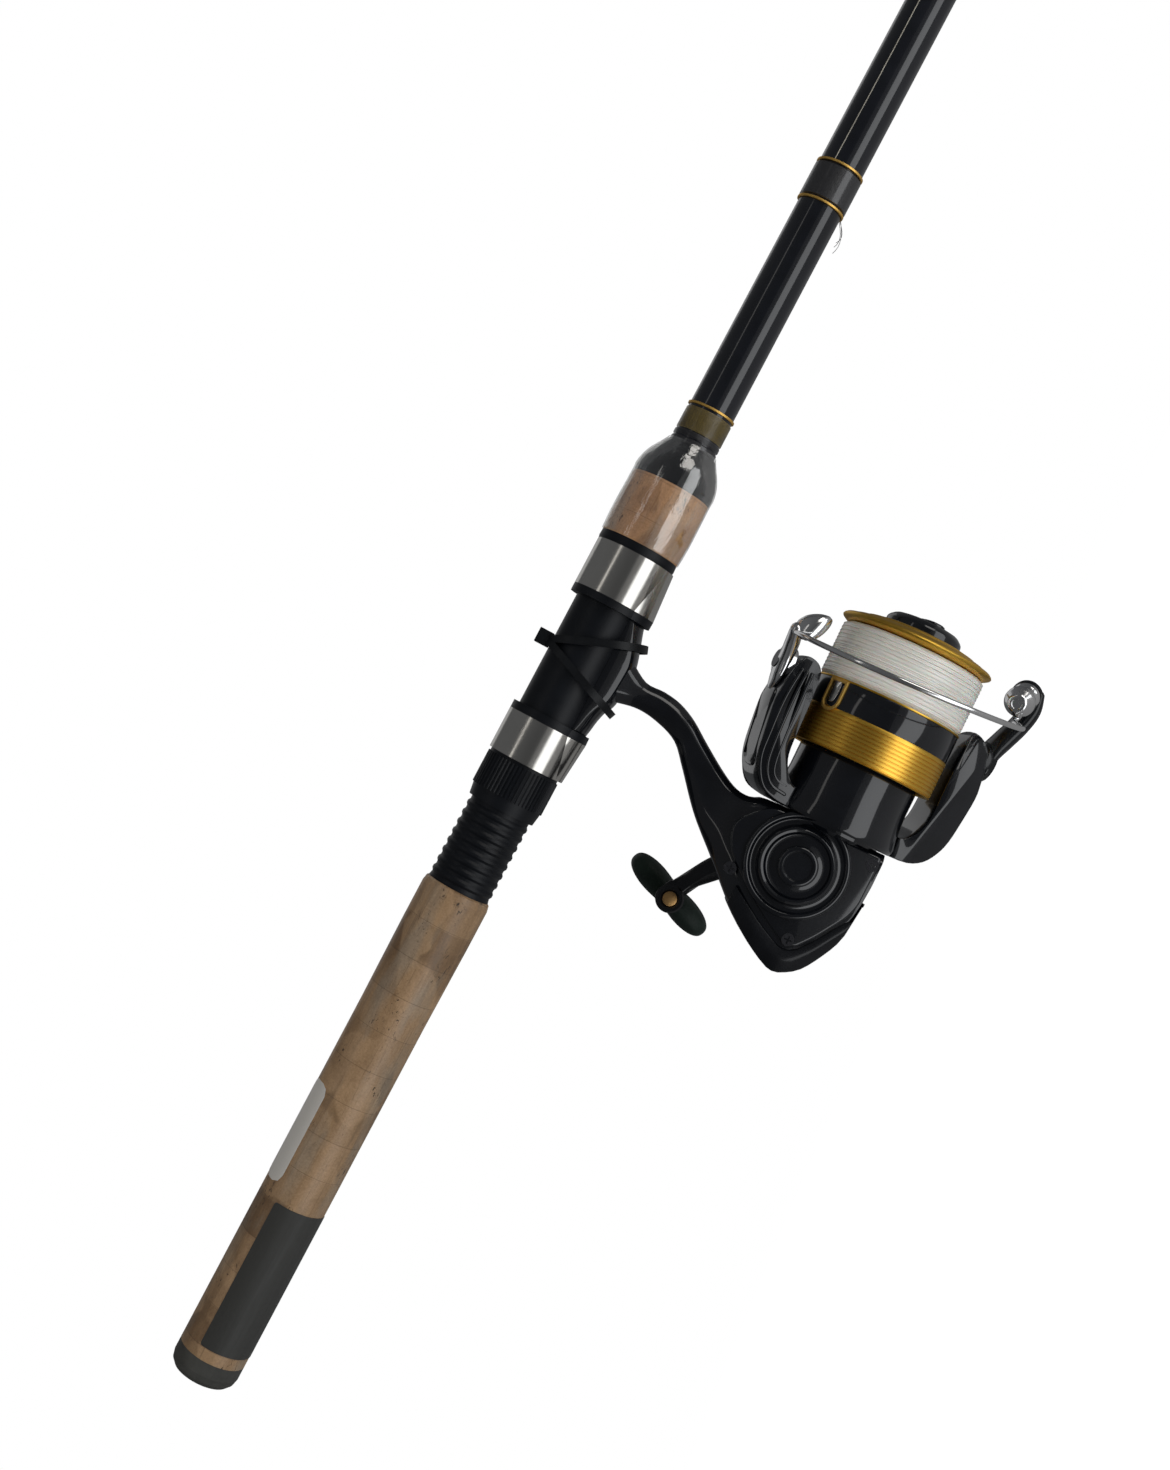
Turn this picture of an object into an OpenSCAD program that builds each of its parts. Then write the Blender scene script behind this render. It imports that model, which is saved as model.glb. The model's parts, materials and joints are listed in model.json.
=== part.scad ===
// Spinning rod in two sections with a fixed-spool reel clamped in its seat.
// +X runs along the rod towards the tip, +Z is up, and the reel hangs below.
// The origin is the middle of the flat butt end.

/* [Rod] */
// Whole length of the rod, from the butt face to the end of the tip
rod_length = 2134; // [1900:1:2400]
// Where the tip section begins, measured from the butt face
ferrule_x = 1060; // [1000:1:1080]
// How far the tip section slides over the butt section
ferrule_overlap = 60; // [40:1:80]
// Radius of the blank inside the handle
handle_blank_r = 7.5; // [7.2:0.1:7.6]
// Wall of the hollow blank
blank_wall = 1.2; // [0.8:0.1:1.4]

/* [Handle] */
// Radius of the rear grip
grip_r = 11.1; // [10.5:0.1:12]
// Where the rear grip ends and the seat thread begins
grip_end = 173.6; // [150:0.1:180]
// Outer radius of the plain barrel that the reel foot rests on
barrel_r = 10.66; // [10.4:0.01:10.8]
// Pitch of the seat thread
thread_pitch = 3.3; // [2.5:0.1:4]
// Outer radius of the locking nut
nut_r = 12.2; // [11.8:0.1:13]

/* [Reel] */
// Distance along the rod from the butt face to the crank's station on the reel axis
reel_x = 230.3; // [229:0.1:232]
// Distance from the rod's axis down to the reel's axis at that station
reel_drop = 94.3; // [93:0.1:96]
// Angle at which the reel's axis leans towards the rod at the front
reel_tilt = 2.2; // [1.5:0.1:3]
// How far the crank's axis passes above the reel's axis
gear_offset = 5.5; // [5.4:0.1:5.6]
// Angle by which the rotor is turned at rest
rotor_turn = 15; // [0:1:30]
// Outer radius of the spool's skirt
skirt_r = 23.9; // [23.5:0.1:24.1]
// Reach of the crank, from its axis to the knob's axis
crank_reach = 40.5; // [38:0.5:46]
// Direction of the crank arm at rest, up from the rod's backward direction
crank_angle = 43; // [0:1:90]
// How far the crank arm bows to one side of the straight line to the knob
arm_bow = 5.5; // [0:0.5:8]
// Angle of the knob's paddle at rest, away from square to that line
knob_angle = 20; // [0:1:45]
// Length of the knob's paddle
knob_length = 36; // [30:1:38]

/* [Hidden] */
$fn = 48;

eps = 0.01;
glue_gap = 0.03;

// Colours
cork_color = [0.66, 0.53, 0.38];
black = [0.06, 0.06, 0.07];
gloss_black = [0.05, 0.06, 0.08];
gold = [0.78, 0.60, 0.18];
steel = [0.66, 0.65, 0.63];
dark_steel = [0.3, 0.3, 0.32];
brass_color = [0.74, 0.58, 0.28];

// Stations along the rod
butt_cap_end = 8.5;
nut_start = 202;
nut_end = 218;
hood_end = 232;
lip_length = 2.6;
fixed_hood_start = 276;
fixed_hood_end = 292;
seat_end = 295;
foregrip_end = 316;
dome_end = 329.5;
blank_start = 3;
barrel_bore_r = 9;
hood_bore_r = barrel_r + 0.09;
grip_bore_r = handle_blank_r + 0.05;
thread_root_r = 10.05;
thread_crest_r = 10.55;
hood_r = 12.5;
hood_mouth_r = 14.3;
fixed_hood_r = 13;
fixed_mouth_r = 14.9;
dome_r = 13.2;

// The reel foot is turned about a line below the rod's axis, so its edges run out thin
foot_axis_z = -4;
foot_start = 224.8;
foot_end = 283;
foot_half_w = 7;

// Blank radii
spigot_r = 5.7;
socket_r = 6.9;
socket_taper = 0.5;
tip_end_r = 1.15;
ferrule_end = ferrule_x + ferrule_overlap;
tube_end = rod_length - 12;

// Guides: station, ring radius, height of the ring's centre below the blank's axis
stripper = [915, 12.5, 30];
tip_guides = [[1245, 8, 21], [1499, 6, 15.5], [1702, 4.6, 11.5], [1880, 4, 9.5], [2020, 3.6, 8.2]];

// Radius of the blank at a station: straight in the handle, then one slow taper per section
taper_start = 340;
butt_end_r = spigot_r + 0.25;
butt_end_x = ferrule_x - 2;
function between(x, x0, x1, r0, r1) = r0 + (r1 - r0) * (x - x0) / (x1 - x0);
function blank_r(x) =
    x < taper_start ? handle_blank_r
    : x < ferrule_x ? between(x, taper_start, butt_end_x, handle_blank_r, butt_end_r)
    : between(x, ferrule_end, tube_end, socket_r - socket_taper, tip_end_r);

// A smooth curve through open points, with corners kept at both ends
function at(points, i) = points[max(0, min(len(points) - 1, i))];
function curve_point(a, b, c, d, t) =
    0.5 * (2 * b + (c - a) * t + (2 * a - 5 * b + 4 * c - d) * t * t + (3 * b - a - 3 * c + d) * t * t * t);
function smooth(points, steps = 4) = [
    for (i = [0 : len(points) - 2])
        for (k = [0 : steps - 1])
            curve_point(at(points, i - 1), points[i], points[i + 1], at(points, i + 2), k / steps),
    points[len(points) - 1]
];

// ---------- Helpers ----------

// A solid turned about the rod's axis, or about a line parallel to it. Points are [radius, x].
module turned(points, z = 0)
    translate([0, 0, z])
        rotate([0, 90, 0])
            rotate_extrude()
                polygon(points);

module ring(x0, x1, r_out, r_in)
    turned([[r_in, x0], [r_out, x0], [r_out, x1], [r_in, x1]]);

// Places children in the reel's own frame: x forward along the reel axis, y to the crank side
module in_reel()
    translate([reel_x, 0, -reel_drop])
        rotate([0, -reel_tilt, 0])
            children();

// Places children in the rotor's frame: z forward, x to the upper arm, y to the bail wire
module in_rotor()
    in_reel()
        rotate([0, 90, 0])
            rotate([0, 0, 180 + rotor_turn])
                children();

// Places children on the crank's axis, z pointing to the crank side
module on_crank_axis()
    in_reel()
        translate([0, 0, gear_offset])
            rotate([-90, 0, 0])
                children();

// A side outline in the reel's x and z, made thick along y
module side_plate(points, y0, y1)
    in_reel()
        translate([0, y1, 0])
            rotate([90, 0, 0])
                linear_extrude(y1 - y0)
                    polygon(points);

// A round bar between two points
module bar(a, b, r)
{
    d = b - a;
    length = norm(d);
    translate(a)
        rotate([0, acos(d[2] / length), atan2(d[1], d[0])])
            cylinder(h = length, r = r);
}

// A bent wire through points, with round corners
module bent_wire(points, r)
{
    for (i = [0 : len(points) - 2])
        bar(points[i], points[i + 1], r);
    for (p = points)
        translate(p)
            sphere(r = r + 0.03);
}

// Gear outline with straight-sided teeth
function tooth_angles(i, count, root_half, tip_half) = [
    [i * 360 / count - root_half, 0],
    [i * 360 / count - tip_half, 1],
    [i * 360 / count + tip_half, 1],
    [i * 360 / count + root_half, 0]
];
function gear_points(count, root_r, tip_r, root_half, tip_half) = [
    for (i = [0 : count - 1])
        for (p = tooth_angles(i, count, root_half, tip_half))
            let (r = p[1] == 1 ? tip_r : root_r)
                [r * cos(p[0]), r * sin(p[0])]
];

// ---------- Rod handle ----------

module butt_cap()
    color([0.25, 0.26, 0.25])
        turned([
            [0, 0], [7, 0], [9.3, 0.7], [10.6, 2.2], [grip_r, 4.2], [grip_r, butt_cap_end],
            [grip_bore_r, butt_cap_end], [grip_bore_r, blank_start - 0.05],
            [0, blank_start - 0.05]
        ]);

module rear_grip()
    color(cork_color)
        turned([
            [grip_bore_r, butt_cap_end + glue_gap], [grip_r, butt_cap_end + glue_gap],
            [grip_r, 130], [grip_r + 0.3, 158], [grip_r + 0.3, grip_end - 2.5],
            [grip_r - 0.1, grip_end - 0.6], [grip_r - 0.8, grip_end - glue_gap],
            [grip_bore_r, grip_end - glue_gap]
        ]);

module butt_blank()
    color(gloss_black)
        turned([
            [handle_blank_r - blank_wall, blank_start], [handle_blank_r, blank_start],
            [handle_blank_r, taper_start], [butt_end_r, butt_end_x], [spigot_r, ferrule_x],
            [spigot_r, ferrule_end], [spigot_r - blank_wall, ferrule_end],
            [spigot_r - blank_wall, ferrule_x], [handle_blank_r - blank_wall, taper_start]
        ]);

module seat_arbors()
    color([0.45, 0.36, 0.26])
        for (x = [180, 228, 270])
            ring(x, x + 14, barrel_bore_r - 0.03, handle_blank_r + 0.03);

thread_start = grip_end + 1.5;
ridge_count = 8;
function ridge(x) = [
    [thread_root_r, x], [thread_crest_r, x + 0.8], [thread_crest_r, x + 1.6], [thread_root_r, x + 2.4]
];

module seat_barrel()
    color(black)
        turned(concat(
            [[barrel_bore_r, grip_end], [10.4, grip_end], [thread_root_r, thread_start]],
            [for (i = [0 : ridge_count - 1]) for (p = ridge(thread_start + i * thread_pitch)) p],
            [
                [thread_root_r, nut_start], [thread_root_r, nut_end - 3], [barrel_r, nut_end - 1.5],
                [barrel_r, fixed_hood_end], [barrel_bore_r, fixed_hood_end]
            ]
        ));

// Closed end at hood_x, open end at hood_x + hood_len. A negative length opens backwards.
module hood_shape(x0, x1, r, mouth_r)
{
    ring(min(x0, x1), max(x0, x1), r, 5);
    turned([[0, x0], [r + foot_axis_z + 0.6, x0], [mouth_r + foot_axis_z, x1], [0, x1]], foot_axis_z);
}

module foot_space(x0, x1, r0, r1)
    turned([[0, x0], [r0, x0], [r1, x1], [0, x1]], foot_axis_z);

// Everything within a radius of the rod's axis, over the whole seat
module seat_space(r)
    ring(nut_start - 2, seat_end + 5, r, 0);

hood_liner_r = 9.35;
hood_space_end_r = 8.3;

module sliding_hood()
    color(steel)
        difference()
        {
            hood_shape(nut_end + 0.1, hood_end, hood_r, hood_mouth_r);
            seat_space(hood_bore_r);
            foot_space(nut_end + 5.5, hood_end + eps, hood_space_end_r, hood_liner_r);
        }

module hood_lip(x0, x1, r, mouth_r)
    difference()
    {
        union()
        {
            ring(min(x0, x1), max(x0, x1), r, 5);
            turned([[0, x0], [mouth_r + foot_axis_z, x0], [mouth_r + foot_axis_z - 0.1, x1], [0, x1]],
                foot_axis_z);
        }
        seat_space(hood_bore_r);
        foot_space(min(x0, x1) - eps, max(x0, x1) + eps, hood_liner_r, hood_liner_r);
    }

module sliding_hood_lip()
    color(black)
        hood_lip(hood_end + glue_gap, hood_end + lip_length, hood_r, hood_mouth_r);

module fixed_hood()
    color(steel)
        difference()
        {
            hood_shape(fixed_hood_end, fixed_hood_start, fixed_hood_r, fixed_mouth_r);
            seat_space(barrel_r + glue_gap);
            foot_space(fixed_hood_start - eps, fixed_hood_end - 5.5, hood_liner_r + 0.5, hood_space_end_r);
        }

module fixed_hood_lip()
    color(black)
        hood_lip(fixed_hood_start - glue_gap, fixed_hood_start - lip_length, fixed_hood_r, fixed_mouth_r);

module seat_ring()
    color(black)
        turned([
            [grip_bore_r, fixed_hood_end + glue_gap], [fixed_hood_r, fixed_hood_end + glue_gap],
            [dome_r, fixed_hood_end + 1], [13.1, seat_end], [grip_bore_r, seat_end]
        ]);

module foregrip()
    color(cork_color)
        turned([
            [grip_bore_r, seat_end + glue_gap], [13.1, seat_end + glue_gap],
            [13.4, seat_end + 8], [dome_r, foregrip_end], [grip_bore_r, foregrip_end]
        ]);

module foregrip_dome()
    color(gloss_black)
        turned([
            [grip_bore_r, foregrip_end + glue_gap], [dome_r, foregrip_end + glue_gap],
            [13.3, foregrip_end + 2.5], [12.8, foregrip_end + 5.5], [11.6, foregrip_end + 8.4],
            [10, foregrip_end + 11], [8.6, dome_end], [grip_bore_r, dome_end]
        ]);

// A wrap that follows the blank's taper from x0 to x1
module tapered_wrap(x0, x1, thick)
    turned([
        [blank_r(x0) + glue_gap, x0], [blank_r(x0) + thick, x0 + 0.4],
        [blank_r(x1) + thick, x1 - 0.4], [blank_r(x1) + glue_gap, x1]
    ]);

module handle_wrap()
    color([0.30, 0.26, 0.12])
        tapered_wrap(332, 342, 0.35);

module butt_wraps()
    color(black)
    {
        tapered_wrap(417, 428.5, 0.65);
        tapered_wrap(dome_end + 0.1, 331.8, 0.4);
        tapered_wrap(ferrule_x - 24, ferrule_x - 3, 0.5);
        guide_wraps(stripper[0], stripper[2]);
    }

module trim_rings()
    color(gold)
        for (x = [342.6, 415.8, 428.8])
            tapered_wrap(x, x + 0.9, 0.55);

// ---------- Guides ----------

foot_strip = 0.8;
foot_width = 2.4;
hoop_wall = 0.9;

// Lengths of a guide's feet and legs grow with its height
function leg_run(height) = height * 0.55;
function foot_run(height) = 6 + height * 0.35;

module guide_wraps(x, height)
    for (side = [-1, 1])
    {
        inner = x + side * (leg_run(height) + 1.5);
        outer = x + side * (leg_run(height) + foot_run(height) + 3);
        difference()
        {
            tapered_wrap(min(inner, outer), max(inner, outer), foot_strip + 0.75);
            guide_foot_space(x, side, height);
        }
    }

module guide_foot_space(x, side, height)
{
    x0 = x + side * leg_run(height);
    x1 = x + side * (leg_run(height) + foot_run(height));
    half = foot_width / 2 + 0.15;
    translate([min(x0, x1) - 1, -half, -blank_r(x) - 3])
        cube([abs(x1 - x0) + 2, 2 * half, 4]);
}

module guide_foot(x, side, height)
{
    x0 = x + side * leg_run(height);
    x1 = x + side * (leg_run(height) + foot_run(height));
    base = blank_r(min(x0, x1)) + 0.1;
    translate([min(x0, x1), -foot_width / 2, -base - foot_strip])
        cube([abs(x1 - x0), foot_width, foot_strip]);
}

module guide_hoop(x, ring_r, height)
    translate([0, 0, -height])
        ring(x - hoop_wall, x + hoop_wall, ring_r, ring_r - hoop_wall);

// Two legs run back to one foot, and one leg runs forward to the other
module guide_frame(x, ring_r, height)
    difference()
    {
        leg_r = ring_r > 6 ? 0.9 : 0.6;
        base = blank_r(x) + 0.5 + foot_strip / 2;
        hoop_r = ring_r - hoop_wall / 2;
        union()
        {
            guide_hoop(x, ring_r, height);
            for (side = [-1, 1])
            {
                foot_x = x + side * (leg_run(height) + 1);
                guide_foot(x, side, height);
                if (side < 0)
                    for (y = [-1, 1])
                        bar([foot_x, 0, -base - 0.2], [x, y * hoop_r * 0.8, -height + hoop_r * 0.6], leg_r);
                else
                    bar([foot_x, 0, -base - 0.2], [x, 0, -height + hoop_r], leg_r);
            }
        }
        translate([x - 3, 0, -height])
            rotate([0, 90, 0])
                cylinder(h = 6, r = ring_r - hoop_wall);
        // the blank itself, over more than the guide's length
        turned([
            [0, x - 60], [blank_r(x - 60) + 0.05, x - 60], [blank_r(x + 60) + 0.05, x + 60], [0, x + 60]
        ]);
    }

module guide_eye(x, ring_r, height)
    translate([0, 0, -height])
        turned([
            [ring_r - 0.95, x - 1.2], [ring_r - 0.95, x + 1.2], [ring_r - 1.6, x + 1.5],
            [ring_r - 2.2, x + 0.8], [ring_r - 2.2, x - 0.8], [ring_r - 1.6, x - 1.5]
        ]);

module small_eye(x, ring_r, height)
    translate([0, 0, -height])
        turned([
            [ring_r - 0.95, x - 1], [ring_r - 0.95, x + 1], [ring_r - 1.5, x + 0.6], [ring_r - 1.5, x - 0.6]
        ]);

module stripper_frame()
    color(dark_steel)
        guide_frame(stripper[0], stripper[1], stripper[2]);

module stripper_ring()
    color([0.2, 0.2, 0.22])
        guide_eye(stripper[0], stripper[1], stripper[2]);

module guide_frames()
    color(dark_steel)
        for (g = tip_guides)
            guide_frame(g[0], g[1], g[2]);

module guide_rings()
    color([0.2, 0.2, 0.22])
        for (g = tip_guides)
            small_eye(g[0], g[1], g[2]);

module tip_blank()
    color(gloss_black)
        turned([
            [spigot_r + 0.02, ferrule_x], [socket_r, ferrule_x], [socket_r, ferrule_end - 10],
            [blank_r(ferrule_end), ferrule_end], [tip_end_r, tube_end], [tip_end_r - 0.5, tube_end],
            [blank_r(ferrule_end) - 1, ferrule_end + 14], [spigot_r + 0.02, ferrule_end + 3]
        ]);

module tip_wraps()
    color(black)
    {
        ring(ferrule_x + 1, ferrule_x + 26, socket_r + 0.45, socket_r + glue_gap);
        for (g = tip_guides)
            guide_wraps(g[0], g[2]);
        tapered_wrap(tube_end - 22, tube_end - 9.2, 0.5);
    }

tip_ring_x = rod_length - 1.5;
tip_ring_z = -5.6;

module tip_top()
    color(dark_steel)
        difference()
        {
            union()
            {
                ring(tube_end - 9, tube_end + 1, tip_end_r + 0.45, tip_end_r + 0.08);
                translate([0, 0, tip_ring_z])
                    ring(tip_ring_x - 0.8, tip_ring_x + 0.8, 3.2, 2.3);
                for (y = [-1, 1])
                    bar([tube_end + 0.4, y * 1.3, -0.3], [tip_ring_x, y * 2, tip_ring_z + 2], 0.42);
                bar([tube_end + 0.4, 0, -1.4], [tip_ring_x, 0, tip_ring_z - 2.7], 0.42);
            }
            translate([tip_ring_x - 2, 0, tip_ring_z])
                rotate([0, 90, 0])
                    cylinder(h = 4, r = 2.4);
            translate([tube_end - 10, 0, 0])
                rotate([0, 90, 0])
                    cylinder(h = 10.5, r = tip_end_r + 0.08);
        }

module tip_top_ring()
    color([0.2, 0.2, 0.22])
        translate([0, 0, tip_ring_z])
            turned([
                [2.35, tip_ring_x - 1], [2.35, tip_ring_x + 1], [1.7, tip_ring_x + 0.6],
                [1.7, tip_ring_x - 0.6]
            ]);

nut_collar = 4;
nut_teeth = 56;

module locking_nut()
    color(black)
        difference()
        {
            union()
            {
                translate([nut_start + nut_collar, 0, 0])
                    rotate([0, 90, 0])
                        linear_extrude(nut_end - nut_start - nut_collar - 1)
                            polygon(gear_points(nut_teeth, nut_r - 0.35, nut_r, 2.6, 1.1));
                turned([
                    [0, nut_start], [nut_r - 1, nut_start], [nut_r - 0.4, nut_start + nut_collar],
                    [0, nut_start + nut_collar]
                ]);
                ring(nut_end - 1.1, nut_end, nut_r - 0.5, 5);
            }
            seat_space(hood_bore_r);
        }

// One long tie crosses over the barrel at its head and passes both in front of and behind the stem
tie_head_x = 256;
tie_top_z = 12.3;
tie_bottom_z = -16.7;
tie_thick = 1.1;
tie_width = 2.4;
tie_inner_r = 11.2;

module tie_outline(grow)
    union()
    {
        reach = (tie_top_z - tie_bottom_z) / 2 - tie_inner_r + 0.9;
        for (side = [-1, 1])
            translate([0, side * reach])
                circle(r = tie_inner_r + grow);
        translate([-tie_inner_r - grow, -reach])
            square([2 * (tie_inner_r + grow), 2 * reach]);
    }

module tie_band(bottom_x)
    translate([(tie_head_x + bottom_x) / 2, 0, (tie_top_z + tie_bottom_z) / 2])
        rotate([0, -atan2(bottom_x - tie_head_x, tie_top_z - tie_bottom_z), 0])
            rotate([90, 0, 90])
                translate([0, 0, -tie_width / 2])
                    linear_extrude(tie_width)
                        difference()
                        {
                            tie_outline(tie_thick);
                            tie_outline(0);
                        }

module cable_tie()
    color(black)
    {
        tie_band(244.4);
        tie_band(267.4);
        translate([tie_head_x - 2.4, -6.4, tie_top_z - 1.6])
            cube([4.8, 5, 4.6]);
    }

// ---------- Reel body ----------

stem_top = 79;
// Rear edge from the rod down to the pointed back, then the bottom edge to the front
rear_edge = [
    [20.9, stem_top], [22.4, 70.8], [21.4, 63.2], [18.3, 55.5], [11.8, 49.6], [0.5, 40.1],
    [-9.5, 29.4], [-19.8, 18.6], [-26.8, 9.5], [-31.7, 0.6], [-32.2, -3.4]
];
bottom_edge = [[-28.5, -9.5], [-21.2, -14.3], [-13.6, -17.3], [-1.6, -18.2], [14.6, -18.2]];
front_edge = [
    [14.6, 21], [13, 26], [13.1, 31], [15.9, 36.8], [21.9, 45.8], [26.8, 52.7], [29.7, 58.9],
    [30.8, 65], [31, 71.5], [35.8, stem_top]
];
body_outline = concat(smooth(rear_edge), smooth(bottom_edge), smooth(front_edge));

cover_y = -12.2;
crank_side_y = 11;
cover_face_y = -14;
outer_ring_y = -15.4;
inner_ring_y = -17.6;
cap_y = -20.6;

// Half widths of the body seen from the front: wide gear box, slim stem
front_outline = [
    [cover_y, -20], [crank_side_y, -20], [crank_side_y, 18], [8.6, 27], [6, 37], [4.9, 48],
    [4.6, 62], [5.4, 72], [6.6, stem_top], [-6.6, stem_top], [-5.4, 72], [-4.6, 62],
    [-4.9, 48], [-6, 37], [-9.4, 27], [cover_y, 18]
];

guard_outline = [
    [-8.6, -16], [-14, -17.6], [-21.3, -14.5], [-28.7, -9.8], [-33, -3.4], [-32.2, 1],
    [-27.2, 9.9], [-20.2, 19], [-17.8, 16.6], [-23.8, 8], [-28, 0], [-27.6, -3.6],
    [-19.5, -12.6], [-14, -15]
];

osc_x = -6.5;
osc_z = -5.2;
rail_z = -9.5;
rail_r = 1.2;
gear_cavity_r = 17;
inner_crank_y = 9.2;

module gear_cavity()
{
    on_crank_axis()
        translate([0, 0, cover_y - 1])
            cylinder(h = inner_crank_y - cover_y + 1, r = gear_cavity_r);
    in_reel()
    {
        translate([osc_x, cover_y - 1, osc_z])
            rotate([-90, 0, 0])
                cylinder(h = inner_crank_y - cover_y + 1, r = 10);
        translate([-17.4, cover_y - 1, -12.2])
            cube([31, inner_crank_y - cover_y + 1, 17]);
    }
}

collar_r = 16.5;
collar_front = 19;
nose_r = 9.6;
nose_front = 30;

module reel_foot()
    intersection()
    {
        turned([
            [0, foot_start], [7.2, foot_start], [8.4, 232], [9.3, 236.5], [9.9, 240.5],
            [11, 244.5], [12.6, 248], [13.2, 258], [12.9, 261.5], [11.6, 266], [9.6, 272],
            [8.6, 276], [7.2, foot_end], [0, foot_end]
        ], foot_axis_z);
        translate([0, 0, -30])
            linear_extrude(30)
                union()
                {
                    for (x = [foot_start + foot_half_w, foot_end - foot_half_w])
                        translate([x, 0])
                            circle(r = foot_half_w);
                    translate([foot_start + foot_half_w, -foot_half_w])
                        square([foot_end - foot_start - 2 * foot_half_w, 2 * foot_half_w]);
                }
    }

module reel_axis_hole(x0, x1, r)
    in_reel()
        translate([x0, 0, 0])
            rotate([0, 90, 0])
                cylinder(h = x1 - x0, r = r);

screw_places = [[-9.5, 23.4], [-21.6, -2], [10.2, -15.3]];
bearing_r = 5.5;
crank_bearing_y = 9.6;
bearing_w = 3;
cover_bearing_y = -15.8;
pinion_bearing_x = 17.4;
pinion_bearing_r = 6.5;
clutch_r = 8;
axle_r = 3;
shaft_r = 1.5;
pinion_r = 3;
cap_plug_r = 5;

module reel_body()
    color(gloss_black)
        difference()
        {
            union()
            {
                intersection()
                {
                    side_plate(body_outline, cover_y, crank_side_y);
                    in_reel()
                        translate([-40, 0, 0])
                            rotate([90, 0, 90])
                                linear_extrude(90)
                                    polygon(front_outline);
                }
                reel_foot();
                reel_axis_hole(14, collar_front, collar_r);
                reel_axis_hole(collar_front - 1, nose_front, nose_r);
                on_crank_axis()
                    translate([0, 0, crank_side_y - 1])
                        cylinder(h = 3.4, r1 = 9.5, r2 = 8);
            }
            // the barrel's seat in the foot
            seat_space(barrel_r + 0.06);
            difference()
            {
                gear_cavity();
                in_reel()
                    translate([osc_x, 3, osc_z])
                        rotate([-90, 0, 0])
                            cylinder(h = 7, r = 1.5);
            }
            // front of the cavity, inside the collar
            reel_axis_hole(13, pinion_bearing_x - 0.2, 12);
            reel_axis_hole(12, pinion_bearing_x + bearing_w, pinion_bearing_r + 0.05);
            reel_axis_hole(12, nose_front + 1, 5);
            reel_axis_hole(21, nose_front + 1, clutch_r + 0.05);
            // crank bearing and the hole for the axle
            on_crank_axis()
            {
                translate([0, 0, 8])
                    cylinder(h = crank_bearing_y + bearing_w - 8, r = bearing_r + 0.05);
                translate([0, 0, 8])
                    cylinder(h = 8, r = 3.5);
            }
            side_plate(guard_outline, cover_y - 1, crank_side_y + 1);
            in_reel()
            {
                for (p = screw_places)
                    translate([p[0], cover_y - 1, p[1]])
                        rotate([-90, 0, 0])
                            cylinder(h = 9.1, r = 1.25);
                // seats for the slider's rail
                translate([-20, 0, rail_z])
                    rotate([0, 90, 0])
                        cylinder(h = 36.5, r = rail_r + 0.05);
            }
        }

cover_scale = 0.9;
cover_points = [for (p = concat([[-4, 25.5]], [for (i = [6 : 10]) rear_edge[i]], bottom_edge, [[14.6, 20]]))
    [-4 + (p[0] + 4) * cover_scale, 3 + (p[1] - 3) * cover_scale]];

module side_cover()
    color(gloss_black)
        difference()
        {
            union()
            {
                side_plate(cover_points, cover_face_y, cover_y - glue_gap);
                on_crank_axis()
                {
                    translate([0, 0, outer_ring_y])
                        cylinder(h = 3, r1 = 15.7, r2 = 16.5);
                    translate([0, 0, inner_ring_y])
                        cylinder(h = 4, r1 = 11.2, r2 = 11.8);
                }
            }
            on_crank_axis()
            {
                // room for the drive gear's back, the bearing and the cap's thread
                translate([0, 0, cover_y - 1])
                    cylinder(h = 3, r = 15);
                translate([0, 0, cover_bearing_y])
                    cylinder(h = 6, r = bearing_r + 0.05);
                translate([0, 0, -20])
                    cylinder(h = 6, r = cap_plug_r + 0.05);
            }
            side_plate(guard_outline, -20, 12);
            // straight front edge, clear of the collar and the rotor
            in_reel()
                translate([13.6, -25, -30])
                    cube([10, 20, 60]);
            in_reel()
                for (p = screw_places)
                    translate([p[0], -16, p[1]])
                        rotate([-90, 0, 0])
                        {
                            cylinder(h = 5, r = 1.3);
                            cylinder(h = 2.9, r = 2.1);
                        }
        }

module rear_guard()
    color(gloss_black)
        intersection()
        {
            side_plate(guard_outline, cover_y - 0.6, crank_side_y + 0.4);
            side_plate(body_outline, cover_y - 2, crank_side_y + 2);
        }

module cover_screws()
    color(dark_steel)
        in_reel()
            for (p = screw_places)
                translate([p[0], -14.1, p[1]])
                    rotate([-90, 0, 0])
                        difference()
                        {
                            union()
                            {
                                cylinder(h = 0.9, r = 2);
                                cylinder(h = 9.5, r = 1.2);
                            }
                            for (a = [0, 90])
                                rotate([0, 0, a])
                                    translate([-1.2, -0.25, -eps])
                                        cube([2.4, 0.5, 0.5]);
                        }

module screw_cap()
    color(gloss_black)
        on_crank_axis()
            difference()
            {
                union()
                {
                    translate([0, 0, cap_y])
                        cylinder(h = 1, r1 = 5.4, r2 = 6.3);
                    translate([0, 0, cap_y + 1])
                        cylinder(h = 1.9, r = 6.3);
                    translate([0, 0, -18])
                        cylinder(h = 2, r = cap_plug_r);
                }
                translate([0, 0, cap_y - eps])
                    cylinder(h = 0.7, r = 4.1);
                translate([0, 0, -18.6])
                    cylinder(h = 3, r = 3.6);
            }

module axle_bearings()
    color(steel)
        on_crank_axis()
            for (y = [cover_bearing_y, crank_bearing_y])
                translate([0, 0, y])
                    difference()
                    {
                        cylinder(h = bearing_w - 0.05, r = bearing_r);
                        translate([0, 0, -eps])
                            cylinder(h = bearing_w, r = axle_r + 0.05);
                    }

module pinion_bearing()
    color(steel)
        difference()
        {
            reel_axis_hole(pinion_bearing_x, pinion_bearing_x + bearing_w - 0.05, pinion_bearing_r);
            reel_axis_hole(pinion_bearing_x - 1, pinion_bearing_x + bearing_w + 1, pinion_r + 0.05);
        }

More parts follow.
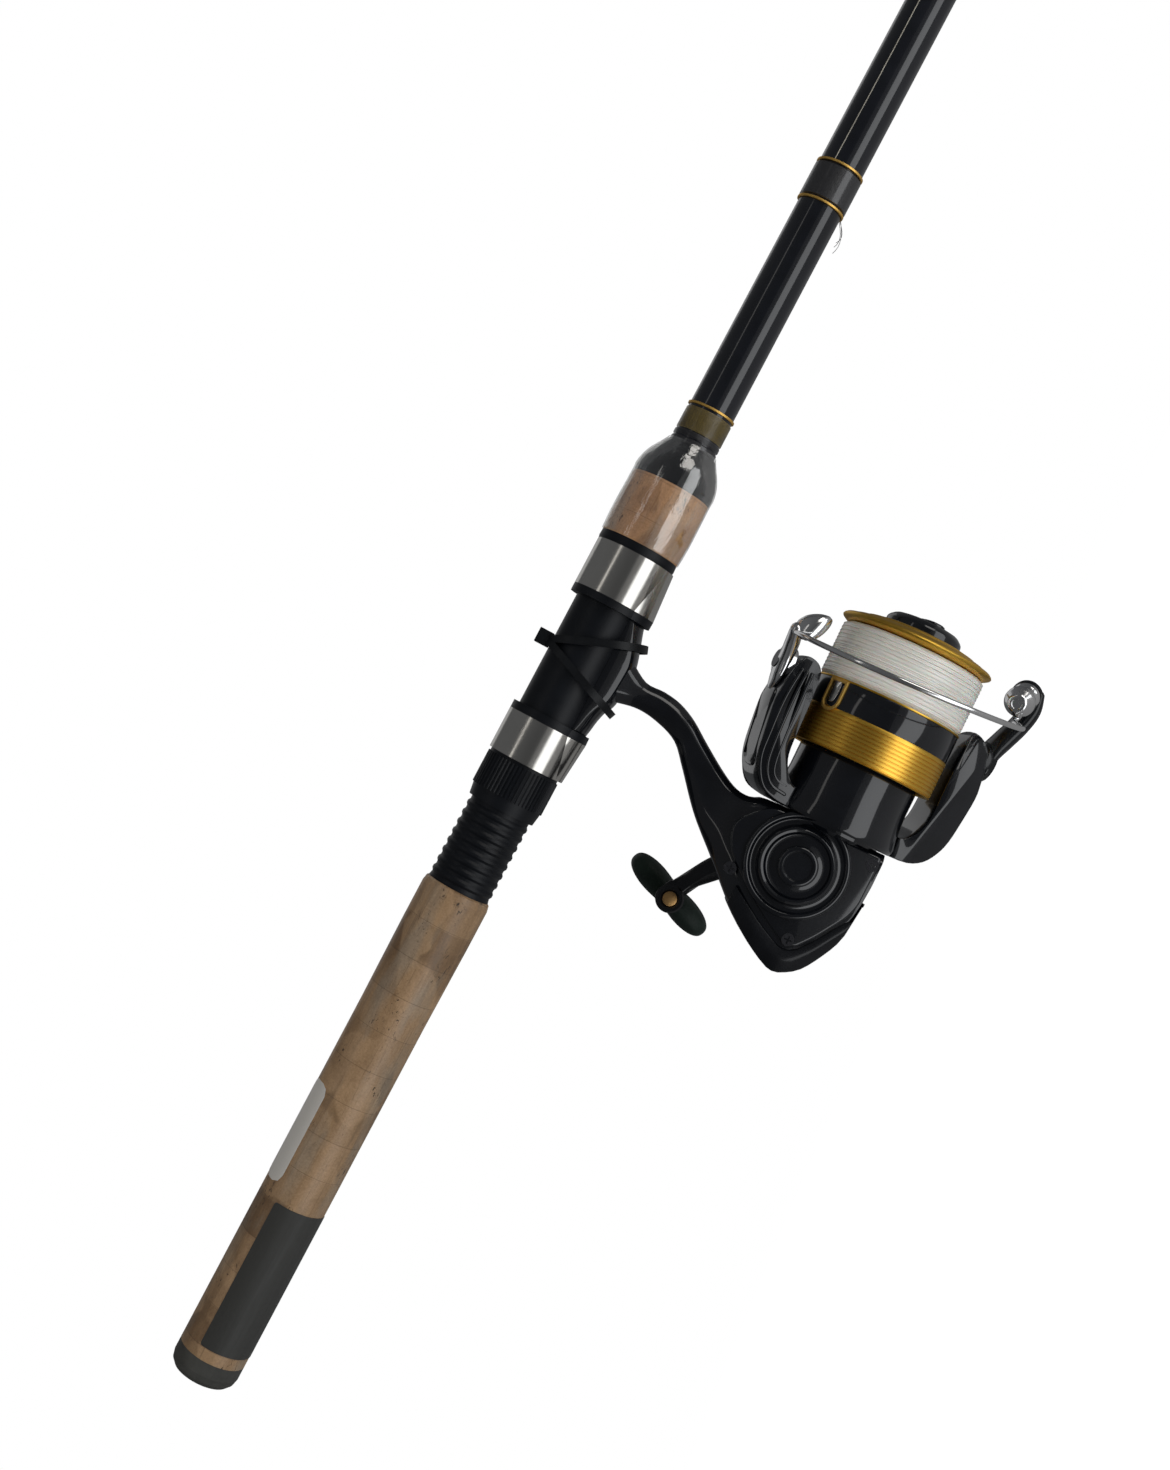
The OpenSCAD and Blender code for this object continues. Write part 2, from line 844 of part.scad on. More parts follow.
module roller_clutch()
    color([0.5, 0.5, 0.52])
        difference()
        {
            reel_axis_hole(21.1, nose_front - 0.5, clutch_r);
            reel_axis_hole(20, nose_front + 1, 4.9);
        }

module slider_rail()
    color(steel)
        in_reel()
            translate([-19.8, 0, rail_z])
                rotate([0, 90, 0])
                    cylinder(h = 36, r = rail_r);

// ---------- Crank, gears and knob ----------

crown_teeth = 60;
pinion_teeth = 12;
pinion_root_r = 2.2;
pinion_tip_r = 3.1;
crown_inner = 12.6;
crown_outer = 15.0;
crown_face_y = -3.35;
crown_tooth_h = 0.85;

module drive_gear()
    color([0.62, 0.62, 0.60])
        on_crank_axis()
            difference()
            {
                union()
                {
                    translate([0, 0, -6.4])
                        difference()
                        {
                            cylinder(h = 6.4 + crown_face_y, r = 16.2);
                            translate([0, 0, 1.8])
                                cylinder(h = 4, r = 13.2);
                        }
                    translate([0, 0, -12])
                        cylinder(h = 8, r = 5);
                    for (i = [0 : crown_teeth - 1])
                        rotate([0, 0, i * 360 / crown_teeth])
                            translate([crown_inner + 1, gear_offset - 0.2, crown_face_y - 0.2])
                                cube([crown_outer - crown_inner, 0.4, crown_tooth_h + 0.2]);
                }
                translate([0, 0, -13])
                    cylinder(h = 14, r = axle_r + 0.02);
            }

osc_teeth = 36;
small_teeth = 14;
osc_angle = atan2(osc_z - gear_offset, osc_x);

module gear_axle()
    color(brass_color)
        on_crank_axis()
        {
            translate([0, 0, -15.6])
                cylinder(h = 30.7, r = axle_r);
            // round shoulder and end that the crank screws on to
            translate([0, 0, 15])
                cylinder(h = 9, r = 2.55);
            translate([0, 0, 4])
                rotate([0, 0, -osc_angle])
                    linear_extrude(2.5)
                        polygon(gear_points(small_teeth, axle_r + 0.02, 3.9, 7.5, 3));
        }

module oscillation_gear()
    color([0.75, 0.74, 0.70])
        in_reel()
            translate([osc_x, 4, osc_z])
                rotate([-90, 0, 0])
                    difference()
                    {
                        union()
                        {
                            rotate([0, 0, 180 - osc_angle + 180 / osc_teeth])
                                linear_extrude(2.5)
                                    polygon(gear_points(osc_teeth, 8.4, 9.4, 3, 1.2));
                            // eccentric pin, stopping short of the slider's slot
                            translate([-7, 0, -1.1])
                                cylinder(h = 1.2, r = 1);
                        }
                        translate([0, 0, -2])
                            cylinder(h = 6, r = 1.6);
                    }

arm_root_y = 39.5;
arm_tip_y = 46.5;
arm_half = 2.5;
arm_root_half = 4.2;
arm_tip_half = 2.8;
arm_steps = 12;
boss_y = 15.2;
rivet_r = 2;

// The arm's own frame: x runs out along the arm, z to the crank side
module on_crank_arm()
    on_crank_axis()
        rotate([0, 0, 180 + crank_angle])
            children();

// One edge of the bowed arm, from the crank's axis to the knob's
function arm_edge(side) = [
    for (i = [0 : arm_steps])
        let (t = i / arm_steps, half = arm_root_half * (1 - t) + arm_tip_half * t)
            [crank_reach * t, 4 * arm_bow * t * (1 - t) + side * half]
];
function reversed(points) = [for (i = [len(points) - 1 : -1 : 0]) points[i]];

module handle_arm()
    color(black)
        on_crank_arm()
            difference()
            {
                union()
                {
                    translate([0, 0, boss_y])
                        cylinder(h = 2, r = 6.6);
                    translate([0, 0, boss_y])
                        cylinder(h = arm_root_y + arm_half - boss_y, r = 4.3);
                    // arm, rising slowly away from the rotor
                    intersection()
                    {
                        rotate([90, 0, 0])
                            translate([0, 0, -6])
                                linear_extrude(12)
                                    polygon([
                                        [-5, arm_root_y - 2.6], [6, arm_root_y - arm_half],
                                        [crank_reach - 6, arm_tip_y - arm_half],
                                        [crank_reach + 6, arm_tip_y - arm_half],
                                        [crank_reach + 6, arm_tip_y + arm_half],
                                        [crank_reach - 8, arm_tip_y + 2.2], [0, arm_root_y + 3.2],
                                        [-5, arm_root_y + 2.6]
                                    ]);
                        linear_extrude(80)
                            union()
                            {
                                circle(r = 4.6);
                                polygon(concat(arm_edge(1), reversed(arm_edge(-1))));
                                translate([crank_reach, 0])
                                    circle(r = 4.9);
                            }
                    }
                }
                translate([0, 0, 14])
                    cylinder(h = 18, r = 2.6);
                translate([crank_reach, 0, 30])
                    cylinder(h = 30, r = rivet_r + 0.02);
            }

// Clearance that lets the knob turn on its rivet
knob_base_y = arm_tip_y + arm_half + 0.3;

module knob_rivet()
    color(brass_color)
        on_crank_arm()
            translate([crank_reach, 0, 0])
            {
                translate([0, 0, arm_tip_y - 3.1])
                    cylinder(h = 26, r = rivet_r);
                translate([0, 0, arm_tip_y - 3.4])
                    cylinder(h = 0.85, r = 2.6);
            }

knob_depth = 24;
paddle_end_r = 9;
paddle_half = 5.4;
paddle_waist = 4.5;

// The paddle seen from its flat side, with round ends
module paddle_side()
{
    end_y = knob_length / 2 - paddle_end_r;
    for (y = [-end_y, end_y])
        translate([paddle_end_r - knob_depth, y])
            circle(r = paddle_end_r);
    translate([-knob_depth, -end_y])
        square([2 * paddle_end_r, 2 * end_y]);
}

// The paddle seen along the rivet, waisted in the middle
module paddle_top()
{
    end_y = knob_length / 2 - paddle_half;
    for (y = [-end_y, end_y])
        translate([0, y])
            circle(r = paddle_half);
    for (side = [-1, 1])
        polygon([
            [-paddle_half + 0.1, side * (end_y - 0.6)], [-paddle_waist, 0],
            [paddle_waist, 0], [paddle_half - 0.1, side * (end_y - 0.6)]
        ]);
}

module handle_knob()
    color([0.05, 0.10, 0.08])
        on_crank_arm()
            translate([crank_reach, 0, knob_base_y])
                rotate([0, 0, -knob_angle])
                    difference()
                    {
                        union()
                        {
                            cylinder(h = 9, r1 = 4.6, r2 = 4.3);
                            intersection()
                            {
                                rotate([0, 90, 0])
                                    translate([0, 0, -6])
                                        linear_extrude(12)
                                            paddle_side();
                                linear_extrude(knob_depth)
                                    paddle_top();
                            }
                        }
                        translate([0, 0, -eps])
                            cylinder(h = 22, r = rivet_r + 0.08);
                    }

// ---------- Rotor and bail ----------

module pinion()
    color(brass_color)
        in_reel()
            rotate([0, 90, 0])
                difference()
                {
                    union()
                    {
                        translate([0, 0, 11.6])
                            rotate([0, 0, 90 + 180 / pinion_teeth])
                                linear_extrude(5.4)
                                    polygon(gear_points(pinion_teeth, pinion_root_r, pinion_tip_r, 7.5, 3));
                        translate([0, 0, 17])
                            cylinder(h = 20, r = pinion_r);
                        translate([0, 0, 36])
                            cylinder(h = 5, r = 2.6);
                    }
                    translate([0, 0, 10])
                        cylinder(h = 40, r = shaft_r + 0.08);
                }

pivot_z = 55;
pivot_r = 1.8;
pivot_bore_r = pivot_r + 0.08;
arm_width = 16;
cover_depth = 1.8;

// Side outline of a rotor arm as [radius, z]; cut lowers the outer face
function arm_side(cut) = [
    [18.6, 15], [25 - cut, 15.6], [29.5 - cut, 18.2], [32.6 - cut, 22], [34.6 - cut, 27],
    [36 - cut, 35], [36.9 - cut, 44], [36.4 - cut, 46], [34.4, 47.5], [34.2, 58], [32, 61.5],
    [29, 62], [26.8, 60], [26, 54], [25.6, 32], [24.4, 27], [21, 22.5], [18.6, 21.5]
];

module arm_block(cut)
    intersection()
    {
        rotate([90, 0, 0])
            translate([0, 0, -arm_width])
                linear_extrude(2 * arm_width)
                    polygon(arm_side(cut));
        // the arm seen from outside, narrowing to a round end at the pivot
        rotate([90, 0, 90])
            linear_extrude(50)
                union()
                {
                    polygon([[-9.5, 14], [9.5, 14], [9, 30], [7, 54], [-7, 54], [-9, 30]]);
                    translate([0, 54])
                        circle(r = 7.9);
                }
    }

// Everything outside an arm's lowered outer face, over the stretch that the cover fills
module cover_zone(grow)
    difference()
    {
        translate([26.5, -20, 21 - grow])
            cube([20, 40, 25.2 + 2 * grow]);
        rotate([90, 0, 0])
            translate([0, 0, -21])
                linear_extrude(42)
                    polygon(arm_side(cover_depth + grow));
    }

module both_arms()
    for (a = [0, 180])
        rotate([0, 0, a])
            children();

module rotor()
    color(gloss_black)
        in_rotor()
            difference()
            {
                union()
                {
                    rotate_extrude()
                        polygon([
                            [17.7, 15], [20.5, 15], [21, 17], [20.2, 21], [19.7, 24], [19.7, 35.5],
                            [18.6, 37], [5, 37], [5, 38.5], [3.03, 38.5], [3.03, 30.6], [9, 30.6],
                            [9, 34.4], [17.7, 34.4]
                        ]);
                    rotate_extrude()
                        polygon([[3.1, 21.4], [4.6, 21.4], [4.6, 31], [3.1, 31]]);
                    both_arms()
                        arm_block(0);
                }
                both_arms()
                {
                    cover_zone(0.05);
                    // pivot screw's hole
                    translate([28, 0, pivot_z])
                        rotate([0, 90, 0])
                            cylinder(h = 12, r = pivot_r + 0.05);
                }
            }

module arm_covers()
    color(gloss_black)
        in_rotor()
            both_arms()
                intersection()
                {
                    arm_block(0);
                    cover_zone(0);
                }

module rotor_nut()
    color(brass_color)
        in_rotor()
            translate([0, 0, 38.6])
                difference()
                {
                    cylinder(h = 2.4, r = 5.6, $fn = 6);
                    translate([0, 0, -1])
                        cylinder(h = 5, r = 2.63);
                }

hub_in = 34.7;
hub_out = 38.9;

module bail_pivots()
    color(steel)
        in_rotor()
            both_arms()
                translate([0, 0, pivot_z])
                    rotate([0, 90, 0])
                    {
                        translate([0, 0, 28.4])
                            cylinder(h = hub_out - 28.4 + 0.1, r = pivot_r);
                        translate([0, 0, hub_out + 0.1])
                            cylinder(h = 0.9, r = 2.9);
                    }

// Roller axis: starts at the lever's end and comes in towards the wire side
roller_foot = [-41, 0, 80.5];
roller_dir = [0.5, 0.78, -0.375];

// Puts z along the roller's axis, with the origin at the lever's end
module on_roller_axis()
    translate(roller_foot)
        rotate([0, acos(roller_dir[2] / norm(roller_dir)), atan2(roller_dir[1], roller_dir[0])])
            children();

function along_roller(t) = roller_foot + roller_dir * t / norm(roller_dir);

// Lever from the pivot hub to the line roller, in two blended bars
module bail_arm()
    color(black)
        in_rotor()
            difference()
            {
                union()
                {
                    translate([-hub_out, 0, pivot_z])
                        rotate([0, 90, 0])
                            cylinder(h = hub_out - hub_in, r = 6.4);
                    hull()
                    {
                        translate([-38.6, 0, pivot_z + 2])
                            rotate([0, 90, 0])
                                cylinder(h = 3.2, r = 4.4, $fn = 28);
                        translate([-41.2, 0, 70])
                            rotate([0, 80, 0])
                                cylinder(h = 2.8, r = 3.4, $fn = 28);
                    }
                    hull()
                    {
                        translate([-41.2, 0, 70])
                            rotate([0, 80, 0])
                                cylinder(h = 2.8, r = 3.4, $fn = 28);
                        on_roller_axis()
                            cylinder(h = 2.6, r = 4.9, $fn = 32);
                    }
                }
                rotate([0, -90, 0])
                    translate([pivot_z, 0, 30])
                    {
                        cylinder(h = 12, r = pivot_bore_r);
                        translate([0, 0, hub_out - 30])
                            cylinder(h = 4, r = 3.2);
                    }
                on_roller_axis()
                    translate([0, 0, 2.6])
                        cylinder(h = 8, r = 6);
            }

wire_r = 0.85;
wire_end = along_roller(14.2) + [-2.2, 0, -1.8];
loop_r = 39;
loop_y = 10.5;
loop_z = 66.8;
loop_lean = 5.3;

// Polished lever from the upper pivot to the wire's end, with the small scoop beside it
module bail_holder()
    color([0.8, 0.8, 0.8])
        in_rotor()
            difference()
            {
                union()
                {
                    translate([hub_in, 0, pivot_z])
                        rotate([0, 90, 0])
                            cylinder(h = hub_out - hub_in, r = 5.2);
                    hull()
                    {
                        translate([hub_in + 1.2, -2.2, 48.5])
                            rotate([0, 90, 0])
                                cylinder(h = 2, r = 1.6, $fn = 24);
                        translate([hub_in + 0.6, 1, pivot_z + 3])
                            rotate([0, 90, 0])
                                cylinder(h = 3.2, r = 3.6, $fn = 28);
                        translate([loop_r - 1.6, loop_y - 2, loop_z - 0.6])
                            rotate([0, 90, 0])
                                cylinder(h = 3.2, r = 1.9, $fn = 24);
                    }
                    hull()
                    {
                        translate([loop_r - 1.6, loop_y - 1.4, loop_z + 0.6])
                            sphere(r = 2, $fn = 24);
                        translate([31.2, 12.2, 71.2])
                            sphere(r = 4.1, $fn = 28);
                        translate([29.6, 12.4, 74])
                            sphere(r = 2.6, $fn = 24);
                    }
                }
                translate([hub_in - 1, 0, pivot_z])
                    rotate([0, 90, 0])
                    {
                        cylinder(h = 8, r = pivot_bore_r);
                        translate([0, 0, 1 + hub_out - hub_in])
                            cylinder(h = 4, r = 3.2);
                    }
                // hollow of the scoop
                translate([29.2, 9.6, 69.4])
                    sphere(r = 3.6, $fn = 28);
                translate([loop_r, loop_y, loop_z])
                    sphere(r = wire_r + 0.08, $fn = 28);
            }

module bail_wire()
    color([0.7, 0.7, 0.7])
        in_rotor()
        {
            translate([0, loop_y, loop_z])
                rotate([-loop_lean, 0, 0])
                    rotate_extrude(angle = 180)
                        translate([loop_r, 0])
                            circle(r = wire_r);
            bent_wire([
                [-loop_r, loop_y, loop_z],
                [-loop_r - 0.5, loop_y - 0.9, loop_z + 1.2],
                [-loop_r, loop_y - 0.9, loop_z + 3],
                wire_end
            ], wire_r);
        }

module roller_cap()
    color([0.8, 0.8, 0.8])
        in_rotor()
            difference()
            {
                on_roller_axis()
                {
                    translate([0, 0, 10.1])
                        cylinder(h = 1.6, r = 4.9);
                    translate([0, 0, 11.7])
                        cylinder(h = 3.2, r1 = 4.9, r2 = 2.9);
                    // pin that carries the roller
                    translate([0, 0, 2.7])
                        cylinder(h = 8, r = 1.5);
                }
                on_roller_axis()
                    translate([0, 0, 14.5])
                        cylinder(h = 1, r = 1.6);
                // socket for the wire's end
                translate(wire_end)
                    sphere(r = wire_r + 0.08);
                bar([-loop_r, loop_y - 0.9, loop_z + 3], wire_end, wire_r + 0.05);
            }

module line_roller()
    color([0.8, 0.8, 0.8])
        in_rotor()
            on_roller_axis()
                rotate_extrude()
                    polygon([
                        [1.58, 3], [4.6, 3], [4.6, 3.8], [3.4, 5.4], [3.1, 6.6], [3.4, 8],
                        [4.6, 9.4], [4.6, 9.9], [1.58, 9.9]
                    ]);

// ---------- Shaft and spool ----------

module main_shaft()
    color(steel)
        in_reel()
            rotate([0, 90, 0])
            {
                translate([0, 0, -16.4])
                    cylinder(h = 99.5, r = shaft_r);
                // collar that carries the spool
                translate([0, 0, 51.5])
                    cylinder(h = 3.6, r = 4.5);
            }

slider_x = -13.5;

module slider()
    color([0.7, 0.7, 0.68])
        in_reel()
            difference()
            {
                translate([slider_x - 3, -2.4, -11.6])
                    cube([6, 4.9, 13.9]);
                translate([slider_x - 4, 0, 0])
                    rotate([0, 90, 0])
                        cylinder(h = 8, r = shaft_r + 0.01);
                translate([slider_x - 4, 0, rail_z])
                    rotate([0, 90, 0])
                        cylinder(h = 8, r = rail_r + 0.1);
                // slot for the eccentric pin
                translate([slider_x - 1.15, 1.7, -11])
                    cube([2.3, 2, 14]);
            }

line_r = 23.8;
arbor_r = 16.5;
lip_r = 25.2;
band_seat_r = skirt_r - 0.6;
groove_count = 9;
groove_step = 1.2;

function skirt_groove(z) = [[skirt_r, z], [skirt_r - 0.35, z - 0.35], [skirt_r, z - 0.7]];

module spool()
    color(gold)
        in_rotor()
            rotate_extrude()
                polygon(concat(
                    [
                        [22.6, 36], [22.6, 55.4], [4.8, 55.4], [1.6, 55.4], [1.6, 66], [13.3, 66],
                        [13.3, 81.2], [15.6, 81.2], [18.5, 80.7], [22, 79.6],
                        [lip_r - 0.5, 78.7], [lip_r, 77.9], [lip_r - 0.4, 77.1], [23, 76.2],
                        [arbor_r, 75.8], [arbor_r, 57.8], [skirt_r, 57.8], [skirt_r, 57.2],
                        [band_seat_r, 57.2], [band_seat_r, 48.2]
                    ],
                    [for (i = [0 : groove_count - 1]) for (p = skirt_groove(47.4 - i * groove_step)) p],
                    [[skirt_r, 36]]
                ));

module spool_band()
    color(black)
        in_rotor()
            rotate_extrude()
                polygon([
                    [band_seat_r + 0.03, 48.25], [skirt_r, 48.25], [skirt_r, 57.15],
                    [band_seat_r + 0.03, 57.15]
                ]);

clip_turn = 26;
clip_r = 3.6;
clip_hole_r = 2.3;
clip_thick = 0.73;

module line_clip()
    color(gold)
        in_rotor()
            rotate([0, 0, clip_turn])
                intersection()
                {
                    rotate_extrude()
                        translate([skirt_r + 0.02, 44])
                            square([clip_thick, 14]);
                    rotate([90, 0, 90])
                        linear_extrude(40)
                            difference()
                            {
                                union()
                                {
                                    translate([0, 50])
                                        circle(r = clip_r);
                                    translate([-clip_r, 50])
                                        square([2 * clip_r, 7]);
                                }
                                translate([0, 50.2])
                                    circle(r = clip_hole_r);
                                translate([-clip_hole_r, 50.2])
                                    square([2 * clip_hole_r, 5]);
                            }
                }

module line_winding()
    color([0.85, 0.85, 0.83])
        in_rotor()
            rotate_extrude()
                polygon([
                    [arbor_r + 0.02, 57.85], [line_r - 0.5, 57.85], [line_r - 0.1, 59.5],
                    [line_r, 66], [line_r - 0.3, 73], [22.3, 76], [arbor_r + 0.02, 75.75]
                ]);

washer_count = 5;
washer_step = 1.3;

module drag_washers()
    color([0.5, 0.48, 0.44])
        in_rotor()
            for (i = [0 : washer_count - 1])
                translate([0, 0, 66.1 + i * washer_step])
                    difference()
                    {
                        cylinder(h = washer_step - 0.1, r = 12.9);
                        translate([0, 0, -1])
                            cylinder(h = 4, r = shaft_r + 0.2);
                    }

module drag_knob()
    color(black)
        in_rotor()
            difference()
            {
                rotate_extrude()
                    polygon([
                        [0, 72.8], [6, 72.8], [6, 78], [12.2, 78.2], [12.4, 81.5], [12.2, 83.4],
                        [11.4, 84.8], [9.8, 85.6], [6, 86], [0, 86]
                    ]);
                translate([0, 0, 70])
                    cylinder(h = 13.8, r = shaft_r + 0.06);
            }

butt_cap();
rear_grip();
butt_blank();
seat_arbors();
seat_barrel();
fixed_hood();
fixed_hood_lip();
seat_ring();
foregrip();
foregrip_dome();
handle_wrap();
butt_wraps();
trim_rings();
stripper_frame();
stripper_ring();
cable_tie();
sliding_hood();
sliding_hood_lip();
locking_nut();
tip_blank();
tip_wraps();
guide_frames();
guide_rings();
tip_top();
tip_top_ring();
reel_body();
side_cover();
rear_guard();
cover_screws();
screw_cap();
axle_bearings();
pinion_bearing();
roller_clutch();
slider_rail();
drive_gear();
gear_axle();
handle_arm();
knob_rivet();
handle_knob();
oscillation_gear();
pinion();
rotor();
rotor_nut();
arm_covers();
bail_pivots();
bail_arm();
bail_holder();
bail_wire();
roller_cap();
line_roller();
main_shaft();
slider();
spool();
spool_band();
line_clip();
line_winding();
drag_washers();
drag_knob();
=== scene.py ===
import json
import math
import bpy
import bmesh
from mathutils import Matrix, Vector


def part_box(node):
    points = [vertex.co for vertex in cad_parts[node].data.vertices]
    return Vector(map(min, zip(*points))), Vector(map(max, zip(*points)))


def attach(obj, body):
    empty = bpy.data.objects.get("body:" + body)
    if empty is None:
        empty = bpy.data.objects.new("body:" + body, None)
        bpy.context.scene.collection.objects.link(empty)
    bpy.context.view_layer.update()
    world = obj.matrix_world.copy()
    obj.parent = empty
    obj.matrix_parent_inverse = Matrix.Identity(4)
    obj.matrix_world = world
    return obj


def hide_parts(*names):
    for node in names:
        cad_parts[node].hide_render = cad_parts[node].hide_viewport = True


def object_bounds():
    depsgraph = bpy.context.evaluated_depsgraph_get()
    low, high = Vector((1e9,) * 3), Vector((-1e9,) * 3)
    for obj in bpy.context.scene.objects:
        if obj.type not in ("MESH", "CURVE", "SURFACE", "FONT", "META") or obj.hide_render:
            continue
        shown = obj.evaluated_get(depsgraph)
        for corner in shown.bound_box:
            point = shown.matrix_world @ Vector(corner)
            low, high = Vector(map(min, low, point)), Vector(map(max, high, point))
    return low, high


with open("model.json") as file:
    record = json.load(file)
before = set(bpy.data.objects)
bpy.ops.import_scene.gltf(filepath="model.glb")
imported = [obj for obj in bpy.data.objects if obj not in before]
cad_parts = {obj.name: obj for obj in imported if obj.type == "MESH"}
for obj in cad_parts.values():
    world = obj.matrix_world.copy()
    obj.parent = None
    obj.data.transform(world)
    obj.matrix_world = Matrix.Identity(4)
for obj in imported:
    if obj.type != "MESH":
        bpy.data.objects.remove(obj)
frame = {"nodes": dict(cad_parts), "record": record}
cad_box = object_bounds()
NODES = frame["nodes"]
JOINTS = {j["name"]: j for j in frame["record"]["behaviour"]["joints"]}
MM = 0.001


def vec(*v):
    return Vector(v)


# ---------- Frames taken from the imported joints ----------

REEL_O = Vector(JOINTS["rotor_spin"]["pos_m"])
REEL_X = Vector(JOINTS["rotor_spin"]["axis"]).normalized()
Y = vec(0, 1, 0)
REEL_Z = REEL_X.cross(Y)
ROTOR_A = Vector(JOINTS["bail_swing"]["axis"]).normalized()
ROTOR_B = REEL_X.cross(ROTOR_A)
CRANK_O = Vector(JOINTS["crank_spin"]["pos_m"])
KNOB_O = Vector(JOINTS["knob_spin"]["pos_m"])
ARM_X = (KNOB_O - CRANK_O).normalized()
ARM_W = Y.cross(ARM_X)
REACH = (KNOB_O - CRANK_O).length / MM
ROLLER_D = Vector(JOINTS["roller_spin"]["axis"]).normalized()
ROLLER_O = Vector(JOINTS["roller_spin"]["pos_m"])


def rod(x, y, z):
    return vec(x, y, z) * MM


def reel(x, y, z):
    return REEL_O + (REEL_X * x + Y * y + REEL_Z * z) * MM


def rotor(a, b, c):
    return REEL_O + (ROTOR_A * a + ROTOR_B * b + REEL_X * c) * MM


def crank(u, w, y):
    return CRANK_O + (ARM_X * u + ARM_W * w + Y * y) * MM


def side(u, w, y):
    """Round pieces on the crank's axis, seen from the reel's side."""
    return CRANK_O + (REEL_X * u + REEL_Z * w + Y * y) * MM


ROLLER_U = ROLLER_D.orthogonal().normalized()
ROLLER_V = ROLLER_D.cross(ROLLER_U)


def roller(u, v, t):
    return ROLLER_O + (ROLLER_U * u + ROLLER_V * v + ROLLER_D * t) * MM


# ---------- Camera ----------

def add_camera():
    data = bpy.data.cameras.new("camera")
    data.lens = 44.96
    data.sensor_width = 36
    data.clip_start = 0.01
    data.clip_end = 50
    cam = bpy.data.objects.new("camera", data)
    bpy.context.scene.collection.objects.link(cam)
    right = vec(0.4692, 0.0294, -0.8826).normalized()
    forward = vec(-0.003, 0.9995, 0.0317)
    forward = (forward - right * forward.dot(right)).normalized()
    up = right.cross(forward)
    spin = Matrix((right, up, -forward)).transposed().to_4x4()
    cam.matrix_world = Matrix.Translation(vec(0.2367, -0.5776, -0.0308)) @ spin
    bpy.context.scene.camera = cam


add_camera()

# ---------- Materials ----------


class Shader:
    """A node material: the Principled shader plus helpers that add and link nodes."""

    def __init__(self, name, color, rough, **sockets):
        self.material = bpy.data.materials.new(name)
        self.material.use_nodes = True
        self.tree = self.material.node_tree
        self.bsdf = self.tree.nodes["Principled BSDF"]
        self.set("Base Color", (*color, 1))
        self.set("Roughness", rough)
        for key, value in sockets.items():
            self.set(key.replace("_", " "), value)

    def set(self, socket, value):
        self.put(self.bsdf, socket, value)

    def put(self, node, socket, value):
        entry = node.inputs[socket]
        if isinstance(value, bpy.types.NodeSocket):
            self.tree.links.new(value, entry)
        else:
            entry.default_value = value

    def node(self, kind, inputs=(), **fields):
        made = self.tree.nodes.new("ShaderNode" + kind)
        for key, value in fields.items():
            setattr(made, key, value)
        for socket, value in dict(inputs).items():
            self.put(made, socket, value)
        return made

    def math(self, operation, a, b=0.0, c=0.0):
        return self.node("Math", {0: a, 1: b, 2: c}, operation=operation).outputs[0]

    def place(self, scale=(1, 1, 1), spin=(0, 0, 0)):
        """The piece's own coordinates in millimetres at rest, scaled and turned."""
        coords = self.node("TexCoord").outputs["Object"]
        scale = [s / MM for s in scale]
        return self.node("Mapping", {"Vector": coords, "Scale": scale, "Rotation": spin}).outputs[0]

    def along(self, origin, axis):
        """Millimetres along an axis through origin."""
        coords = self.node("TexCoord").outputs["Object"]
        away = self.node("VectorMath", {0: coords, 1: origin}, operation="SUBTRACT").outputs[0]
        dot = self.node("VectorMath", {0: away, 1: axis}, operation="DOT_PRODUCT").outputs["Value"]
        return self.math("MULTIPLY", dot, 1 / MM)

    def noise(self, at, scale, detail=3.0, rough=0.55, distortion=0.0):
        return self.node(
            "TexNoise",
            {"Vector": at, "Scale": scale, "Detail": detail, "Roughness": rough, "Distortion": distortion},
        ).outputs["Fac"]

    def ramp(self, factor, stops):
        made = self.node("ValToRGB", {"Fac": factor})
        points = made.color_ramp.elements
        while len(points) < len(stops):
            points.new(0.5)
        for point, (where, color) in zip(points, stops):
            point.position = where
            point.color = color if len(color) == 4 else (*color, 1)
        return made.outputs["Color"]

    def fade(self, factor, low, high, out_low=0.0, out_high=1.0):
        made = self.node(
            "MapRange",
            {"Value": factor, "From Min": low, "From Max": high, "To Min": out_low, "To Max": out_high},
        )
        return made.outputs["Result"]

    def mix(self, factor, a, b, blend="MIX"):
        made = self.node("Mix", data_type="RGBA", blend_type=blend)
        self.put(made, 0, factor)
        for socket, value in ((6, a), (7, b)):
            self.put(made, socket, (*value, 1) if isinstance(value, tuple) and len(value) == 3 else value)
        return made.outputs[2]

    def bump(self, height, strength, distance):
        inputs = {"Height": height, "Strength": strength, "Distance": distance * MM}
        return self.node("Bump", inputs).outputs[0]


CORK_RING = 12.4  # millimetres of grip cut from one sheet of cork


def shade_of(color, amount):
    return tuple(c * amount for c in color)


